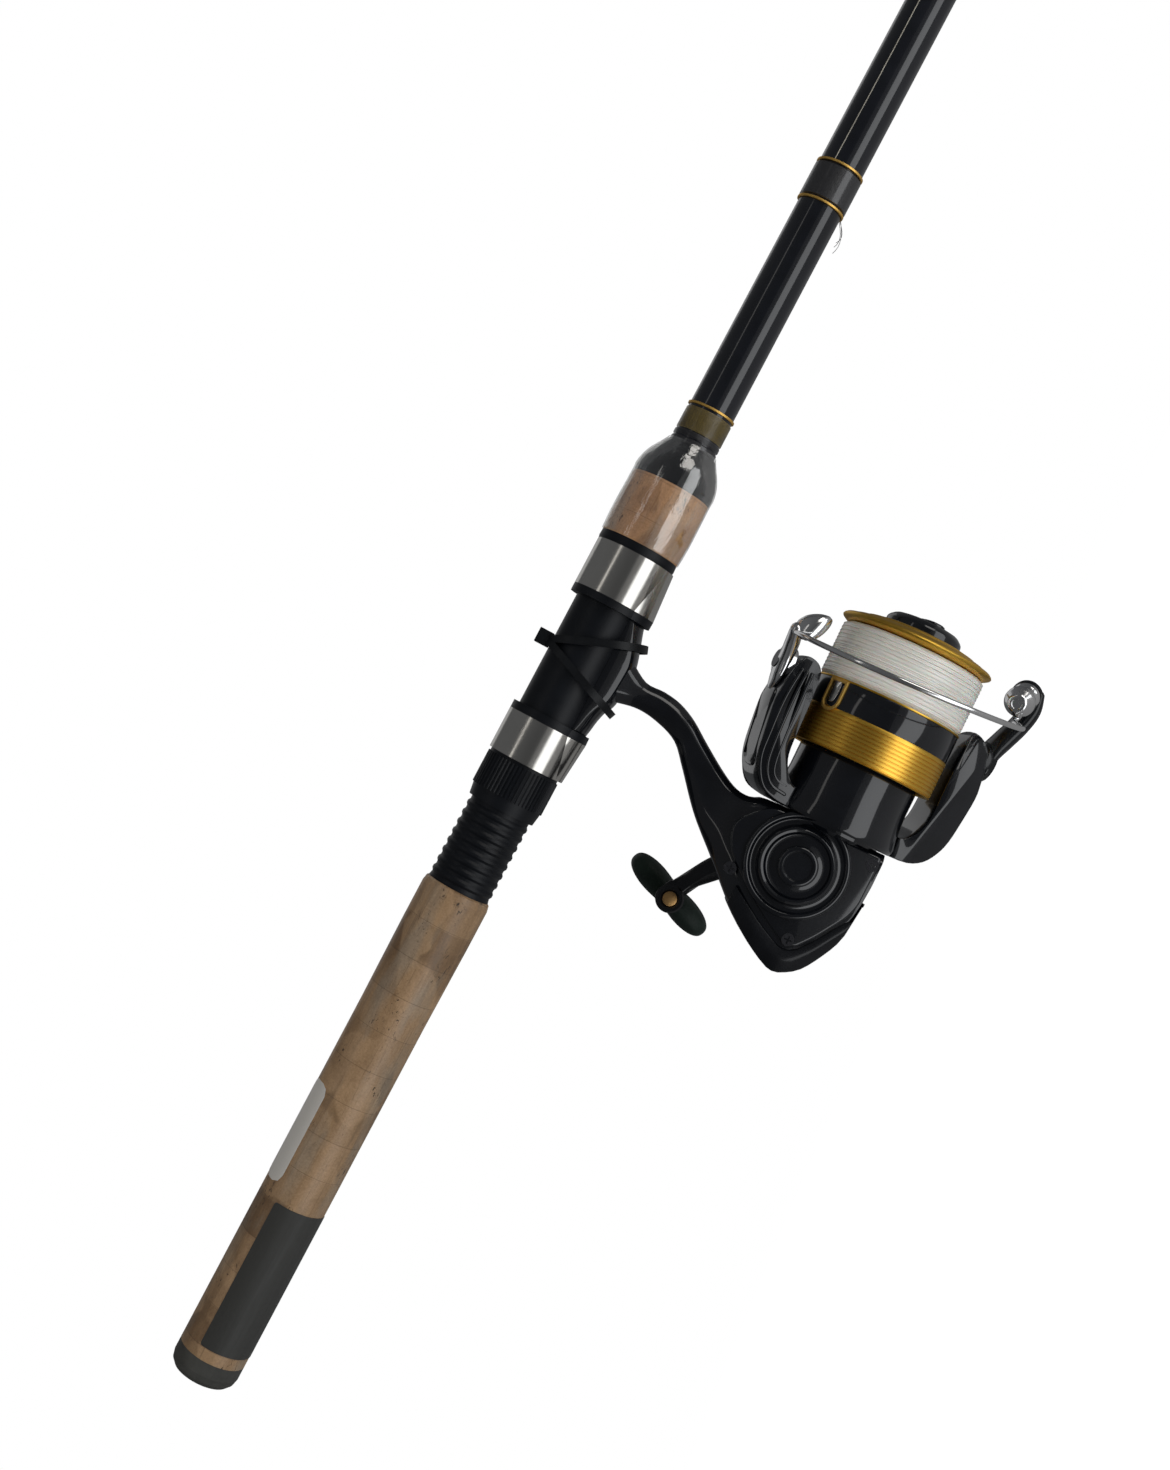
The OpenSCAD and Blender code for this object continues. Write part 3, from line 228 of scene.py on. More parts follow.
def cork(name, pale, mid, dark, start):
    """Cork rings glued end to end. start moves the pattern along the rod, in centimetres."""
    s = Shader(name, mid, 0.6, Coat_Weight=0.3, Coat_Roughness=0.25)
    at = s.place()
    x = s.along(vec(start * 0.01, 0, 0), vec(1, 0, 0))
    wobble = s.noise(s.place((0.05, 0.35, 0.35)), 1.0, 2.0)
    # rings of cork, each cut from its own sheet, with patches inside them
    rings = s.math("DIVIDE", x, CORK_RING)
    cell = s.math("FLOOR", s.math("ADD", rings, s.math("MULTIPLY", wobble, 0.05)))
    tint = s.node("TexWhiteNoise", {"W": cell}, noise_dimensions="1D").outputs["Value"]
    chip_look = {"Vector": s.place((0.075, 0.10, 0.10), (0.2, 0, 0)), "Scale": 1.0, "Randomness": 0.8,
                 "Smoothness": 0.15}
    chips = s.node("TexVoronoi", chip_look, feature="SMOOTH_F1").outputs["Color"]
    chip = s.node("SeparateColor", {"Color": chips}).outputs[0]
    blotch = s.noise(s.place((0.05, 0.2, 0.2), (0.3, 0, 0)), 1.0, 5.0, 0.62)
    tone = s.math("ADD", s.math("MULTIPLY", tint, 0.16), s.math("MULTIPLY", chip, 0.30))
    tone = s.math("ADD", s.math("MULTIPLY", blotch, 0.55), tone)
    base = s.ramp(tone, [(0.28, dark), (0.46, mid), (0.62, pale), (0.80, shade_of(pale, 1.12))])
    # greyer on some patches
    weathered = s.noise(s.place((0.03, 0.11, 0.11), (0.9, 0, 0)), 1.0, 3.0)
    grey = s.fade(weathered, 0.5, 0.66, 0.0, 0.4)
    base = s.mix(grey, base, (pale[1] * 0.95, pale[1] * 0.92, pale[1] * 0.78))
    grain = s.noise(at, 1.5, 6.0, 0.7)
    speckle = s.ramp(grain, [(0.3, (0.66, 0.62, 0.57)), (0.7, (1.14, 1.14, 1.15))])
    base = s.mix(0.8, base, speckle, "MULTIPLY")
    # brown streaks along the grip
    streak = s.noise(s.place((0.016, 0.42, 0.42)), 1.0, 5.0, 0.62, 0.5)
    streak = s.fade(streak, 0.54, 0.68)
    base = s.mix(s.math("MULTIPLY", streak, 0.5), base, shade_of(mid, 0.5))
    fine = s.fade(s.noise(s.place((0.06, 1.5, 1.5)), 1.0, 4.0, 0.6), 0.60, 0.68)
    base = s.mix(s.math("MULTIPLY", fine, 0.35), base, shade_of(mid, 0.4))
    # clusters of small dark pits and cracks
    zone = s.fade(s.noise(s.place((0.07, 0.13, 0.13), (1.4, 0, 0)), 1.0, 2.0), 0.52, 0.60)
    pit = s.fade(s.noise(s.place((0.55, 1.3, 1.3)), 1.0, 4.0, 0.65, 0.7), 0.59, 0.64)
    pit = s.math("MULTIPLY", zone, pit)
    base = s.mix(pit, base, shade_of(mid, 0.14))
    # joints between the rings
    edge = s.math("ABSOLUTE", s.math("SUBTRACT", s.math("FRACT", rings), 0.5))
    joint = s.fade(s.math("ADD", edge, s.math("MULTIPLY", wobble, 0.006)), 0.492, 0.498)
    base = s.mix(s.math("MULTIPLY", joint, 0.5), base, shade_of(mid, 0.35))
    s.set("Base Color", base)
    hollows = s.math("ADD", pit, s.math("MULTIPLY", joint, 0.4))
    height = s.math("SUBTRACT", s.math("MULTIPLY", grain, 0.25), hollows)
    s.set("Normal", s.bump(height, 0.5, 0.14))
    s.set("Roughness", s.fade(grain, 0.3, 0.7, 0.5, 0.72))
    return s.material


def plastic(name, color, rough, grain=2.0, lift=0.02, coat=0.0, coat_rough=0.1, marks=0.06):
    """Moulded or painted surface: fine texture, patches of wear and dull handling marks."""
    s = Shader(name, color, rough, Coat_Weight=coat, Coat_Roughness=coat_rough,
               Specular_IOR_Level=0.10 if coat else 0.22)
    at = s.place()
    fine = s.noise(at, grain, 4.0)
    patch = s.noise(at, 0.09, 4.0, 0.65, 0.4)
    scuff = s.noise(s.place((0.15, 1.2, 0.4), (0.2, 0.5, 0.9)), 1.0, 5.0, 0.7)
    worn = tuple(min(1, c * 1.35 + 0.001) for c in color)
    s.set("Base Color", s.mix(s.fade(patch, 0.3, 0.75), shade_of(color, 0.75), worn))
    rubbed = s.math("MULTIPLY", s.fade(scuff, 0.6, 0.75), marks)
    wear = s.math("ADD", s.math("MULTIPLY", patch, marks * 2), rubbed)
    s.set("Roughness", s.math("ADD", wear, rough - marks))
    s.set("Normal", s.bump(fine, 0.35, lift))
    return s.material


def metal(name, color, rough, lines, depth, origin=None, axis=None, aniso=0.0):
    """Metal with fine lines square to an axis, as left by turning or polishing, and a few scratches."""
    s = Shader(name, color, rough, Metallic=1.0, Anisotropic=aniso)
    at = s.place()
    if axis is not None:
        t = s.along(origin, axis)
        look = {"W": s.math("MULTIPLY", t, lines), "Scale": 1.0, "Detail": 5.0, "Roughness": 0.7}
        turned = s.node("TexNoise", look, noise_dimensions="1D").outputs["Fac"]
    else:
        turned = s.noise(at, lines, 4.0)
    smudge = s.noise(at, 0.12, 4.0, 0.6, 0.5)
    scratch = s.fade(s.noise(s.place((0.08, 2.4, 0.9), (0.7, 0.3, 0.4)), 1.0, 3.0, 0.6), 0.66, 0.72)
    s.set("Base Color", s.mix(s.fade(smudge, 0.3, 0.8, 0.0, 0.35), color, shade_of(color, 0.72)))
    dull = s.math("ADD", s.math("MULTIPLY", smudge, 0.12), s.math("MULTIPLY", scratch, 0.1))
    dull = s.math("ADD", s.math("MULTIPLY", turned, 0.1), dull)
    s.set("Roughness", s.math("ADD", dull, rough - 0.1))
    s.set("Normal", s.bump(turned, 0.3, depth))
    return s.material


def thread(name, color, crest_highlight, pitch, weave=0.0):
    """Thread wound side by side round the rod, under clear lacquer. Its colour has painted shade between the turns
    and a painted highlight on each turn's crest.
    """
    s = Shader(name, color, 0.5, Coat_Weight=0.9, Coat_Roughness=0.12)
    x = s.along(vec(0, 0, 0), vec(1, 0, 0))
    wobble = s.noise(s.place((0.3, 0.3, 0.3)), 1.0, 2.0)
    wound = s.math("ADD", x, s.math("MULTIPLY", wobble, pitch * 0.6))
    strand = s.math("SINE", s.math("MULTIPLY", wound, 2 * math.pi / pitch))
    fibre = s.noise(s.place((2.2, 2.2, 2.2)), 1.0, 4.0, 0.7)
    # the strand's valleys and crests go into the colour as painted shade and painted highlight, on top of the
    # fibre's own tone
    tone_with_painted_crests = s.math("ADD", s.math("MULTIPLY", strand, 0.5), fibre)
    if weave:
        look = {"Vector": s.place((1, 1, 1), (0.2, 0.9, 0.4)), "Scale": weave, "Distortion": 1.5, "Detail": 2.0}
        cross = s.node("TexWave", look).outputs["Fac"]
        tone_with_painted_crests = s.math("ADD", s.math("MULTIPLY", cross, 0.5), s.math("SUBTRACT", tone_with_painted_crests, 0.2))
    # the colour runs from painted shade between turns, through the thread's colour, to a painted highlight on each
    # crest
    s.set("Base Color", s.ramp(tone_with_painted_crests, [(0.15, shade_of(color, 0.35)), (0.6, color), (0.95, crest_highlight)]))
    s.set("Normal", s.bump(strand, 0.5, 0.05))
    return s.material


def wound_line(name):
    """Clear line laid on the spool in close turns."""
    s = Shader(name, (0.80, 0.80, 0.78), 0.3, Specular_IOR_Level=0.7, Coat_Weight=0.25, Coat_Roughness=0.25,
               Subsurface_Weight=0.25, Subsurface_Scale=0.002)
    t = s.along(REEL_O, REEL_X)
    look = {"W": s.math("MULTIPLY", t, 2.6), "Scale": 1.0, "Detail": 4.0}
    band = s.node("TexNoise", look, noise_dimensions="1D").outputs["Fac"]
    cross = s.noise(s.place((1.6, 0.12, 0.12), (0, 0.06, 0)), 1.0, 4.0, 0.6)
    tone = s.math("ADD", s.math("MULTIPLY", band, 0.5), s.math("MULTIPLY", cross, 0.5))
    tints = [(0.3, (0.66, 0.64, 0.58)), (0.5, (0.78, 0.76, 0.70)), (0.7, (0.88, 0.86, 0.81))]
    s.set("Base Color", s.ramp(tone, tints))
    s.set("Roughness", s.fade(cross, 0.3, 0.7, 0.22, 0.42))
    s.set("Normal", s.bump(band, 0.3, 0.05))
    return s.material


def clear_film(name):
    """Thin clear wrapping film: mostly see-through, with wrinkled gloss."""
    s = Shader(name, (0.9, 0.9, 0.88), 0.08)
    folds = s.noise(s.place((0.07, 0.3, 0.3)), 1.0, 3.0, 0.5, 0.8)
    normal = s.bump(folds, 0.45, 0.5)
    gloss = s.node("BsdfGlossy", {"Color": (1, 1, 0.98, 1), "Roughness": 0.06, "Normal": normal})
    clear = s.node("BsdfTransparent", {"Color": (1, 1, 1, 1)})
    edge = s.node("Fresnel", {"IOR": 1.33, "Normal": normal}).outputs[0]
    amount = s.math("MINIMUM", s.math("ADD", s.math("MULTIPLY", edge, 0.8), 0.05), 0.35)
    both = s.node("MixShader", {0: amount, 1: clear.outputs[0], 2: gloss.outputs[0]})
    s.tree.links.new(both.outputs[0], s.tree.nodes["Material Output"].inputs["Surface"])
    s.tree.nodes.remove(s.bsdf)
    return s.material


def paper(name, color, rough):
    """Printed paper or plastic sticker, slightly creased."""
    s = Shader(name, color, rough)
    fibre = s.noise(s.place((1.2, 3, 3)), 1.0, 5.0, 0.7)
    crease = s.noise(s.place((0.04, 0.6, 0.6)), 1.0, 3.0, 0.6)
    s.set("Base Color", s.mix(s.fade(fibre, 0.3, 0.7, 0.0, 0.35), color, shade_of(color, 0.8)))
    s.set("Roughness", s.fade(crease, 0.3, 0.7, rough - 0.1, rough + 0.1))
    s.set("Normal", s.bump(s.math("ADD", fibre, s.math("MULTIPLY", crease, 3)), 0.2, 0.04))
    return s.material


ROD_AXIS = (vec(0, 0, 0), vec(1, 0, 0))

# colour, roughness, grain, lift, then coat, its roughness and marks
PLASTICS = {
    "butt_rubber": ((0.06, 0.06, 0.055), 0.62, 2.4, 0.03),
    "seat_black": ((0.0035, 0.0045, 0.0065), 0.42, 3.0, 0.015),
    "blank": ((0.004, 0.005, 0.008), 0.32, 1.4, 0.004, 1.0, 0.07, 0.04),
    "gloss_black": ((0.0025, 0.0032, 0.005), 0.30, 1.2, 0.004, 1.0, 0.06, 0.05),
    "satin_black": ((0.004, 0.0046, 0.006), 0.36, 2.0, 0.01, 0.35, 0.2, 0.05),
    "lever_black": ((0.004, 0.0048, 0.006), 0.36, 1.6, 0.006, 0.6, 0.12, 0.05),
    "ceramic": ((0.02, 0.02, 0.022), 0.2, 1.0, 0.002, 1.0, 0.05, 0.03),
    "nylon": ((0.004, 0.0048, 0.006), 0.42, 2.2, 0.015),
    "knob_rubber": ((0.009, 0.017, 0.013), 0.55, 2.6, 0.03),
    "felt": ((0.18, 0.16, 0.14), 0.9, 1.2, 0.05),
    "arbor": ((0.20, 0.16, 0.10), 0.85, 1.0, 0.05),
    "seam": ((0.34, 0.32, 0.27), 0.4, 2.0, 0.004),
    "loose_thread": ((0.012, 0.012, 0.014), 0.6, 3.0, 0.01),
}

# colour, roughness, fine lines to a millimetre and their depth, then the axis they run round
METALS = {
    "dark_screw": ((0.05, 0.05, 0.055), 0.35, 3.0, 0.004),
    "stainless": ((0.56, 0.545, 0.51), 0.16, 6.0, 0.004, *ROD_AXIS),
    "gold_trim": ((0.80, 0.50, 0.13), 0.48, 8.0, 0.006, *ROD_AXIS),
    "guide_grey": ((0.10, 0.10, 0.105), 0.34, 3.0, 0.005),
    "cast_zinc": ((0.42, 0.42, 0.41), 0.42, 2.0, 0.02),
    "brass": ((0.50, 0.30, 0.12), 0.42, 6.0, 0.006, CRANK_O, Y),
    "chrome": ((0.70, 0.70, 0.70), 0.13, 0.8, 0.003),
    "spool_gold": ((0.78, 0.47, 0.07), 0.36, 3.2, 0.012, REEL_O, REEL_X, 0.3),
}

M = {
    "cork": cork("cork", (0.40, 0.255, 0.135), (0.30, 0.185, 0.092), (0.17, 0.097, 0.043), 0),
    "cork_front": cork("cork_front", (0.64, 0.37, 0.185), (0.50, 0.27, 0.125), (0.27, 0.13, 0.055), 3),
    # each thread's second colour is the painted highlight on the crests of its turns
    "thread_olive": thread("thread_olive", (0.055, 0.040, 0.008), (0.24, 0.17, 0.04), 0.34, weave=2.4),
    "thread_black": thread("thread_black", (0.006, 0.006, 0.008), (0.02, 0.02, 0.024), 0.3),
    "line": wound_line("line"),
    "card": paper("card", (0.034, 0.034, 0.031), 0.6),
    "label": paper("label", (0.66, 0.64, 0.60), 0.42),
    "film": clear_film("film"),
}
M |= {name: plastic(name, *look) for name, look in PLASTICS.items()}
M |= {name: metal(name, *look) for name, look in METALS.items()}

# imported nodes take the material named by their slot, apart from a few
slots = {part["node"]: part["material_slot"] for part in frame["record"]["subparts"]}
slots |= {"foregrip": "cork_front", "cover_screws": "dark_screw", "bail_pivots": "dark_screw"}
for node, obj in NODES.items():
    obj.data.materials.clear()
    obj.data.materials.append(M[slots[node]])

# ---------- Mesh helpers ----------


def piece(name, verts, faces, body, material, slot=None, replaces=(), sharp=38):
    mesh = bpy.data.meshes.new(name)
    mesh.from_pydata([tuple(v) for v in verts], [], faces)
    work = bmesh.new()
    work.from_mesh(mesh)
    bmesh.ops.remove_doubles(work, verts=work.verts, dist=1e-6)
    bmesh.ops.dissolve_degenerate(work, edges=work.edges, dist=1e-7)
    bmesh.ops.recalc_face_normals(work, faces=work.faces)
    work.to_mesh(mesh)
    work.free()
    for polygon in mesh.polygons:
        polygon.use_smooth = True
    mesh.set_sharp_from_angle(angle=math.radians(sharp))
    mesh.materials.append(M[material])
    obj = bpy.data.objects.new(name, mesh)
    bpy.context.scene.collection.objects.link(obj)
    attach(obj, body)
    if slot or material in frame_slots:
        slot or material
    if replaces:
        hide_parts(*replaces)
    return obj


frame_slots = {m["slot"] for m in frame["record"]["materials"]}


def smooth(points, steps=6):
    """Catmull-Rom curve through open points."""
    out = []
    pts = [Vector(p) for p in points]
    last = len(pts) - 1
    for i in range(last):
        a, b, c, d = pts[max(i - 1, 0)], pts[i], pts[i + 1], pts[min(i + 2, last)]
        for k in range(steps):
            t = k / steps
            out.append(0.5 * (2 * b + (c - a) * t + (2 * a - 5 * b + 4 * c - d) * t * t
                              + (3 * b - a - 3 * c + d) * t ** 3))
    out.append(pts[-1])
    return out


def curve(points, steps=6):
    """The same curve as plain (value, height) points."""
    return [tuple(p) for p in smooth(points, steps)]


def value_at(line, height):
    """The value of a line of (value, height) points at a height."""
    pairs = sorted(zip(line, line[1:]), key=lambda p: min(p[0][1], p[1][1]))
    for a, b in pairs:
        low, high = sorted((a[1], b[1]))
        if low <= height <= high and high > low:
            t = (height - a[1]) / (b[1] - a[1])
            return a[0] + (b[0] - a[0]) * t
    nearest = min(line[0], line[-1], key=lambda p: abs(p[1] - height))
    return nearest[0]


def strips(count, size, closed=True, ends=False):
    """Faces between rings of the same size."""
    faces = []
    for i in range(count - 1):
        for k in range(size if closed else size - 1):
            j = (k + 1) % size
            faces.append((i * size + k, i * size + j, (i + 1) * size + j, (i + 1) * size + k))
    if ends:
        faces.append(tuple(range(size - 1, -1, -1)))
        faces.append(tuple((count - 1) * size + k for k in range(size)))
    return faces


def lathe(name, profile, place, body, material, turns=96, loop=True, **more):
    """Turns (radius, height) points about an axis. place takes (x, y, height) in millimetres."""
    rings = []
    for r, h in profile:
        for k in range(turns):
            a = 2 * math.pi * k / turns
            rings.append(place(r * math.cos(a), r * math.sin(a), h))
    faces = strips(len(profile), turns)
    if loop:
        last = (len(profile) - 1) * turns
        for k in range(turns):
            j = (k + 1) % turns
            faces.append((last + k, last + j, j, k))
    return piece(name, rings, faces, body, material, **more)


def rounded(points, radius, steps=4):
    """Rounds every corner of a closed outline. A corner may carry its own radius as a third value."""
    out = []
    n = len(points)
    for i, p in enumerate(points):
        a, b, c = (Vector(points[(i + k) % n][:2]) for k in (-1, 0, 1))
        r = p[2] if len(p) > 2 else radius
        u, v = (a - b), (c - b)
        reach = min(r, u.length * 0.45, v.length * 0.45)
        start, end = b + u.normalized() * reach, b + v.normalized() * reach
        for k in range(steps + 1):
            t = k / steps
            out.append(start * (1 - t) ** 2 + b * 2 * t * (1 - t) + end * t * t)
    return out


def inset(outline, amount):
    """Moves each point of a closed outline inwards."""
    n = len(outline)
    area = 0
    for p, q in zip(outline, [*outline[1:], outline[0]]):
        area += p[0] * q[1] - q[0] * p[1]
    sign = 1 if area > 0 else -1
    moved = []
    for i, p in enumerate(outline):
        before, after = Vector(outline[i - 1][:2]), Vector(outline[(i + 1) % n][:2])
        here = Vector(p[:2])
        e1, e2 = (here - before), (after - here)
        if e1.length < 1e-6 or e2.length < 1e-6:
            moved.append(here)
            continue
        n1 = Vector((-e1.y, e1.x)).normalized()
        n2 = Vector((-e2.y, e2.x)).normalized()
        bisector = (n1 + n2)
        if bisector.length < 1e-3:
            moved.append(here)
            continue
        bisector.normalize()
        moved.append(here + bisector * sign * amount / max(bisector.dot(n1), 0.5))
    return moved


def prism(name, outline, low, high, edge, place, body, material, steps=3, **more):
    """A plate with rounded rims. place takes the outline's two values and the height."""
    levels = []
    for k in range(steps + 1):
        a = math.pi / 2 * k / steps
        levels.append((low + edge * (1 - math.sin(a)), edge * (1 - math.cos(a))))
    levels = levels[::-1]
    levels += [(high - (h - low), d) for h, d in levels[::-1]]
    verts = []
    for h, d in levels:
        verts += [place(p[0], p[1], h) for p in inset(outline, d)]
    size = len(outline)
    return piece(name, verts, strips(len(levels), size, True, True), body, material, **more)


def tube(name, path, radii, place, body, material, turns=16, up=vec(0, 0, 1), **more):
    """A round or flattened bar through points, closed at both ends with flat caps."""
    pts = [Vector(p) for p in path]
    rings = []
    for i, p in enumerate(pts):
        ahead = (pts[min(i + 1, len(pts) - 1)] - pts[max(i - 1, 0)]).normalized()
        across = ahead.cross(up)
        across = across.normalized() if across.length > 1e-4 else ahead.orthogonal().normalized()
        over = across.cross(ahead)
        r = radii[i] if isinstance(radii, (list, tuple)) else radii
        wide, thick = r if isinstance(r, (list, tuple)) else (r, r)
        for k in range(turns):
            a = 2 * math.pi * k / turns
            rings.append(place(*(p + across * wide * math.cos(a) + over * thick * math.sin(a))))
    return piece(name, rings, strips(len(pts), turns, True, True), body, material, **more)


def nosed(path, radii, steps=4):
    """Adds round noses at both ends of a bar's path."""
    pts = [Vector(p) for p in path]
    sizes = [r if isinstance(r, (list, tuple)) else (r, r) for r in radii]
    out_p, out_r = [], []
    for end in (0, -1):
        ahead = (pts[0] - pts[1]).normalized() if end == 0 else (pts[-1] - pts[-2]).normalized()
        wide, thick = sizes[end]
        nose = []
        for k in range(steps):
            a = math.pi / 2 * (k + 0.15) / steps
            reach = min(wide, thick)
            nose.append((pts[end] + ahead * reach * math.cos(a), (wide * math.sin(a), thick * math.sin(a))))
        if end == 0:
            out_p += [n[0] for n in nose] + pts
            out_r += [n[1] for n in nose] + sizes
        else:
            out_p += [n[0] for n in nose[::-1]]
            out_r += [n[1] for n in nose[::-1]]
    return out_p, out_r


# ---------- Handle details ----------

GRIP_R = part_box("butt_cap")[1].y / MM
BLANK_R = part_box("butt_blank")[1].y / MM


def on_rod(x, y, h):
    """Round pieces on the rod: the angle runs from +Y towards +Z, the height along X."""
    return rod(h, x, y)


def patch(name, x0, x1, radius, thick, start, sweep, material, corner):
    """A thin sheet stuck to a round grip from one angle over a sweep, with rounded corners."""
    columns = [x0, x0 + corner * 0.3, x0 + corner, *[x0 + (x1 - x0) * k / 8 for k in range(1, 8)],
               x1 - corner, x1 - corner * 0.3, x1]
    verts = []
    per = 25
    for r in (radius + thick, radius):
        for x in columns:
            gap = min(x - x0, x1 - x)
            trim = corner - math.sqrt(max(corner ** 2 - (corner - min(gap, corner)) ** 2, 0))
            cut = math.degrees(trim / radius)
            for k in range(per):
                a = math.radians(start + cut + (sweep - 2 * cut) * k / (per - 1))
                verts.append(on_rod(r * math.cos(a), r * math.sin(a), x))
    n = len(columns)
    faces = strips(n, per, False)
    back = [(a + n * per, d + n * per, c + n * per, b + n * per) for a, b, c, d in faces]
    rim = [k for k in range(per)] + [i * per + per - 1 for i in range(1, n)]
    rim += [(n - 1) * per + k for k in range(per - 2, -1, -1)] + [i * per for i in range(n - 2, 0, -1)]
    walls = [(rim[i], rim[(i + 1) % len(rim)], rim[(i + 1) % len(rim)] + n * per, rim[i] + n * per)
             for i in range(len(rim))]
    return piece(name, verts, faces + back + walls, "rod_handle", material)


STICKER_R = GRIP_R + 0.03
patch("card_sticker", 12.5, 62.5, STICKER_R, 0.14, -201, 115, "card", 0.8)
patch("label_strip", 67, 101, STICKER_R, 0.12, -265, 53, "label", 3.2)

# clear film over the fore grip and its dome: a line of (radius, x) points, film outside, then inside
grip_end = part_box("seat_ring")[1].x / MM
dome_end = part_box("foregrip_dome")[1].x / MM
FILM = 0.06
film_points = [(13.52, grip_end + 0.4), (13.82, grip_end + 8)]
film_points += [(13.62, dome_end - 13.5), (13.72, dome_end - 11), (13.2, dome_end - 8), (12.0, dome_end - 5)]
film_points += [(10.4, dome_end - 2.4), (9.0, dome_end - 0.1), (8.4, dome_end + 1.1)]
film_line = curve(film_points, 5)
film_line += [(r - FILM, x) for r, x in film_line[::-1]]
lathe("fore_film", film_line, on_rod, "rod_handle", "film", 72, sharp=80)


def wrapped(name, x0, x1, r0, r1, pitch, material, replaces=()):
    """Thread wound on the rod's taper: one bead per turn."""
    count = int((x1 - x0) / pitch)
    outer = []
    for i in range(count * 4 + 1):
        t = i / (count * 4)
        rise = 0.12 * abs(math.sin(math.pi * i / 4))
        end = min(t, 1 - t) * (x1 - x0)
        drop = max(0, 0.5 - end) * 0.8
        outer.append((r0 + (r1 - r0) * t + rise - drop, x0 + (x1 - x0) * t))
    inner = [(outer[-1][0] - 0.6, x1), (outer[0][0] - 0.6, x0)]
    return lathe(name, outer + inner, on_rod, "rod_handle", material, 64, replaces=replaces, sharp=70)


BLACK_WRAP = 2.2
lo, hi = (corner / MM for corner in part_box("handle_wrap"))
wrap_r = hi.y - 0.1
wrapped("olive_thread", lo.x + BLACK_WRAP, hi.x, wrap_r, wrap_r - 0.06, 0.34, "thread_olive", ["handle_wrap"])
wrapped("black_thread", lo.x, lo.x + BLACK_WRAP, wrap_r, wrap_r, 0.3, "thread_black")

# gold trim rings, each a soft-edged bead
BEAD = [(-0.5, 0.05), (-0.1, 0.05), (0.06, 0.15), (0.1, 0.45), (0.06, 0.75), (-0.1, 0.85), (-0.5, 0.85)]
for i, (x, r) in enumerate(((342.6, 7.98), (415.8, 7.95), (428.8, 7.95))):
    lathe(f"gold_ring_{i}", [(r + dr, x + dx) for dr, dx in BEAD], on_rod, "rod_handle", "gold_trim", 72,
          replaces=["trim_rings"] if i == 0 else ())


def add_bar(name, points, radius, material, slot):
    """A thin bar lying on the rod, through points in millimetres."""
    path, radii = nosed(points, [radius] * len(points), 2)
    return tube(name, path, radii, rod, "rod_handle", material, 6, slot=slot, up=vec(0.2, 0.9, 0.3))


# pale seam line along the blank, on the rod's upper side facing the camera
SEAM_ANGLE = math.radians(158)
SEAM_FROM, SEAM_TO = 430, 1000
TAPER_FROM, TAPER_TO, TAPER_R = 340, 1058, 5.95
seam_points = []
for i in range(25):
    x = SEAM_FROM + (SEAM_TO - SEAM_FROM) * i / 24
    r = BLANK_R - (BLANK_R - TAPER_R) * (x - TAPER_FROM) / (TAPER_TO - TAPER_FROM) + 0.06
    a = SEAM_ANGLE + math.radians(1.2 * math.sin(i * 1.3))
    seam_points.append((x, r * math.cos(a), r * math.sin(a)))
add_bar("blank_seam", seam_points, 0.17, "seam", "blank")

# loose thread ends under the keeper wrap
for i, (turn, reach) in enumerate(((-62, 7.5), (-70, 9.5), (-66, 5.5))):
    a = math.radians(turn)
    points = []
    for k in range(9):
        t = k / 8
        r = 8.1 + 3.2 * math.sin(t * 2.2) + 0.4 * i * t
        points.append((416.2 - reach * t, r * math.cos(a + 0.10 * i * t), r * math.sin(a + 0.10 * i * t)))
    add_bar(f"loose_end_{i}", points, 0.09, "loose_thread", "thread_black")

# ---------- Reel body ----------

# outlines as (distance, height) points in the reel's frame
BOTTOM_Z, TOP_Z = -18.2, 79
BACK_EDGE = curve([(20.9, TOP_Z), (22.4, 70.8), (21.4, 63.2), (18.3, 55.5), (11.8, 49.6), (0.5, 40.1),
                   (-9.5, 29.4), (-19.8, 18.6), (-26.8, 9.5), (-31.7, 0.6), (-32.2, -3.4)])
BACK_EDGE += curve([(-32.2, -3.4), (-28.5, -9.5), (-21.2, -14.3), (-13.6, -17.3), (-1.6, BOTTOM_Z)])[1:]
FRONT_EDGE = curve([(14.6, BOTTOM_Z), (14.6, 0), (14.6, 21), (13, 26), (13.1, 31), (15.9, 36.8), (21.9, 45.8),
                    (26.8, 52.7), (29.7, 58.9), (30.8, 65), (31, 71.5), (35.8, TOP_Z)])
NEAR_SIDE = curve([(12.2, -20), (12.2, 0), (12.2, 17), (9.6, 27), (6.1, 37), (4.95, 48), (4.65, 62), (5.4, 72),
                   (6.6, TOP_Z)])
FAR_SIDE = curve([(11, -20), (11, 0), (11, 18), (8.6, 27), (6, 37), (4.9, 48), (4.6, 62), (5.4, 72), (6.6, TOP_Z)])


def body_section(z):
    """One level of the body: a slab with wide chamfers along both upright edges."""
    rear, front = value_at(BACK_EDGE, z), value_at(FRONT_EDGE, z)
    near, far = value_at(NEAR_SIDE, z), value_at(FAR_SIDE, z)
    depth = front - rear
    # the chamfer is wide on the gear box and shrinks up the stem
    t = min(max((z - 24) / 26, 0), 1)
    wide = min(7.5 * (1 - t) + 3.2 * t, depth * 0.32)
    fall = min(3.4 * (1 - t) + 2.3 * t, min(near, far) * 0.55)
    lead = min(2.2 * (1 - t) + 3.0 * t, depth * 0.3)
    corners = [(rear, -near + fall, 1.0), (rear + wide, -near, 1.6), (front - lead, -near, 1.2),
               (front, -near + fall, 1.2), (front, far - fall, 1.2), (front - lead, far, 1.2),
               (rear + wide, far, 1.6), (rear, far - fall, 1.0)]
    return rounded(corners, 1.0, 4)


def loft(name, levels, section, material, **more):
    """Joins the outlines that section gives at each height of the reel's body."""
    verts = []
    for z in levels:
        verts += [reel(p.x, p.y, z) for p in section(z)]
    size = len(verts) // len(levels)
    return piece(name, verts, strips(len(levels), size, True, True), "rod_handle", material, **more)


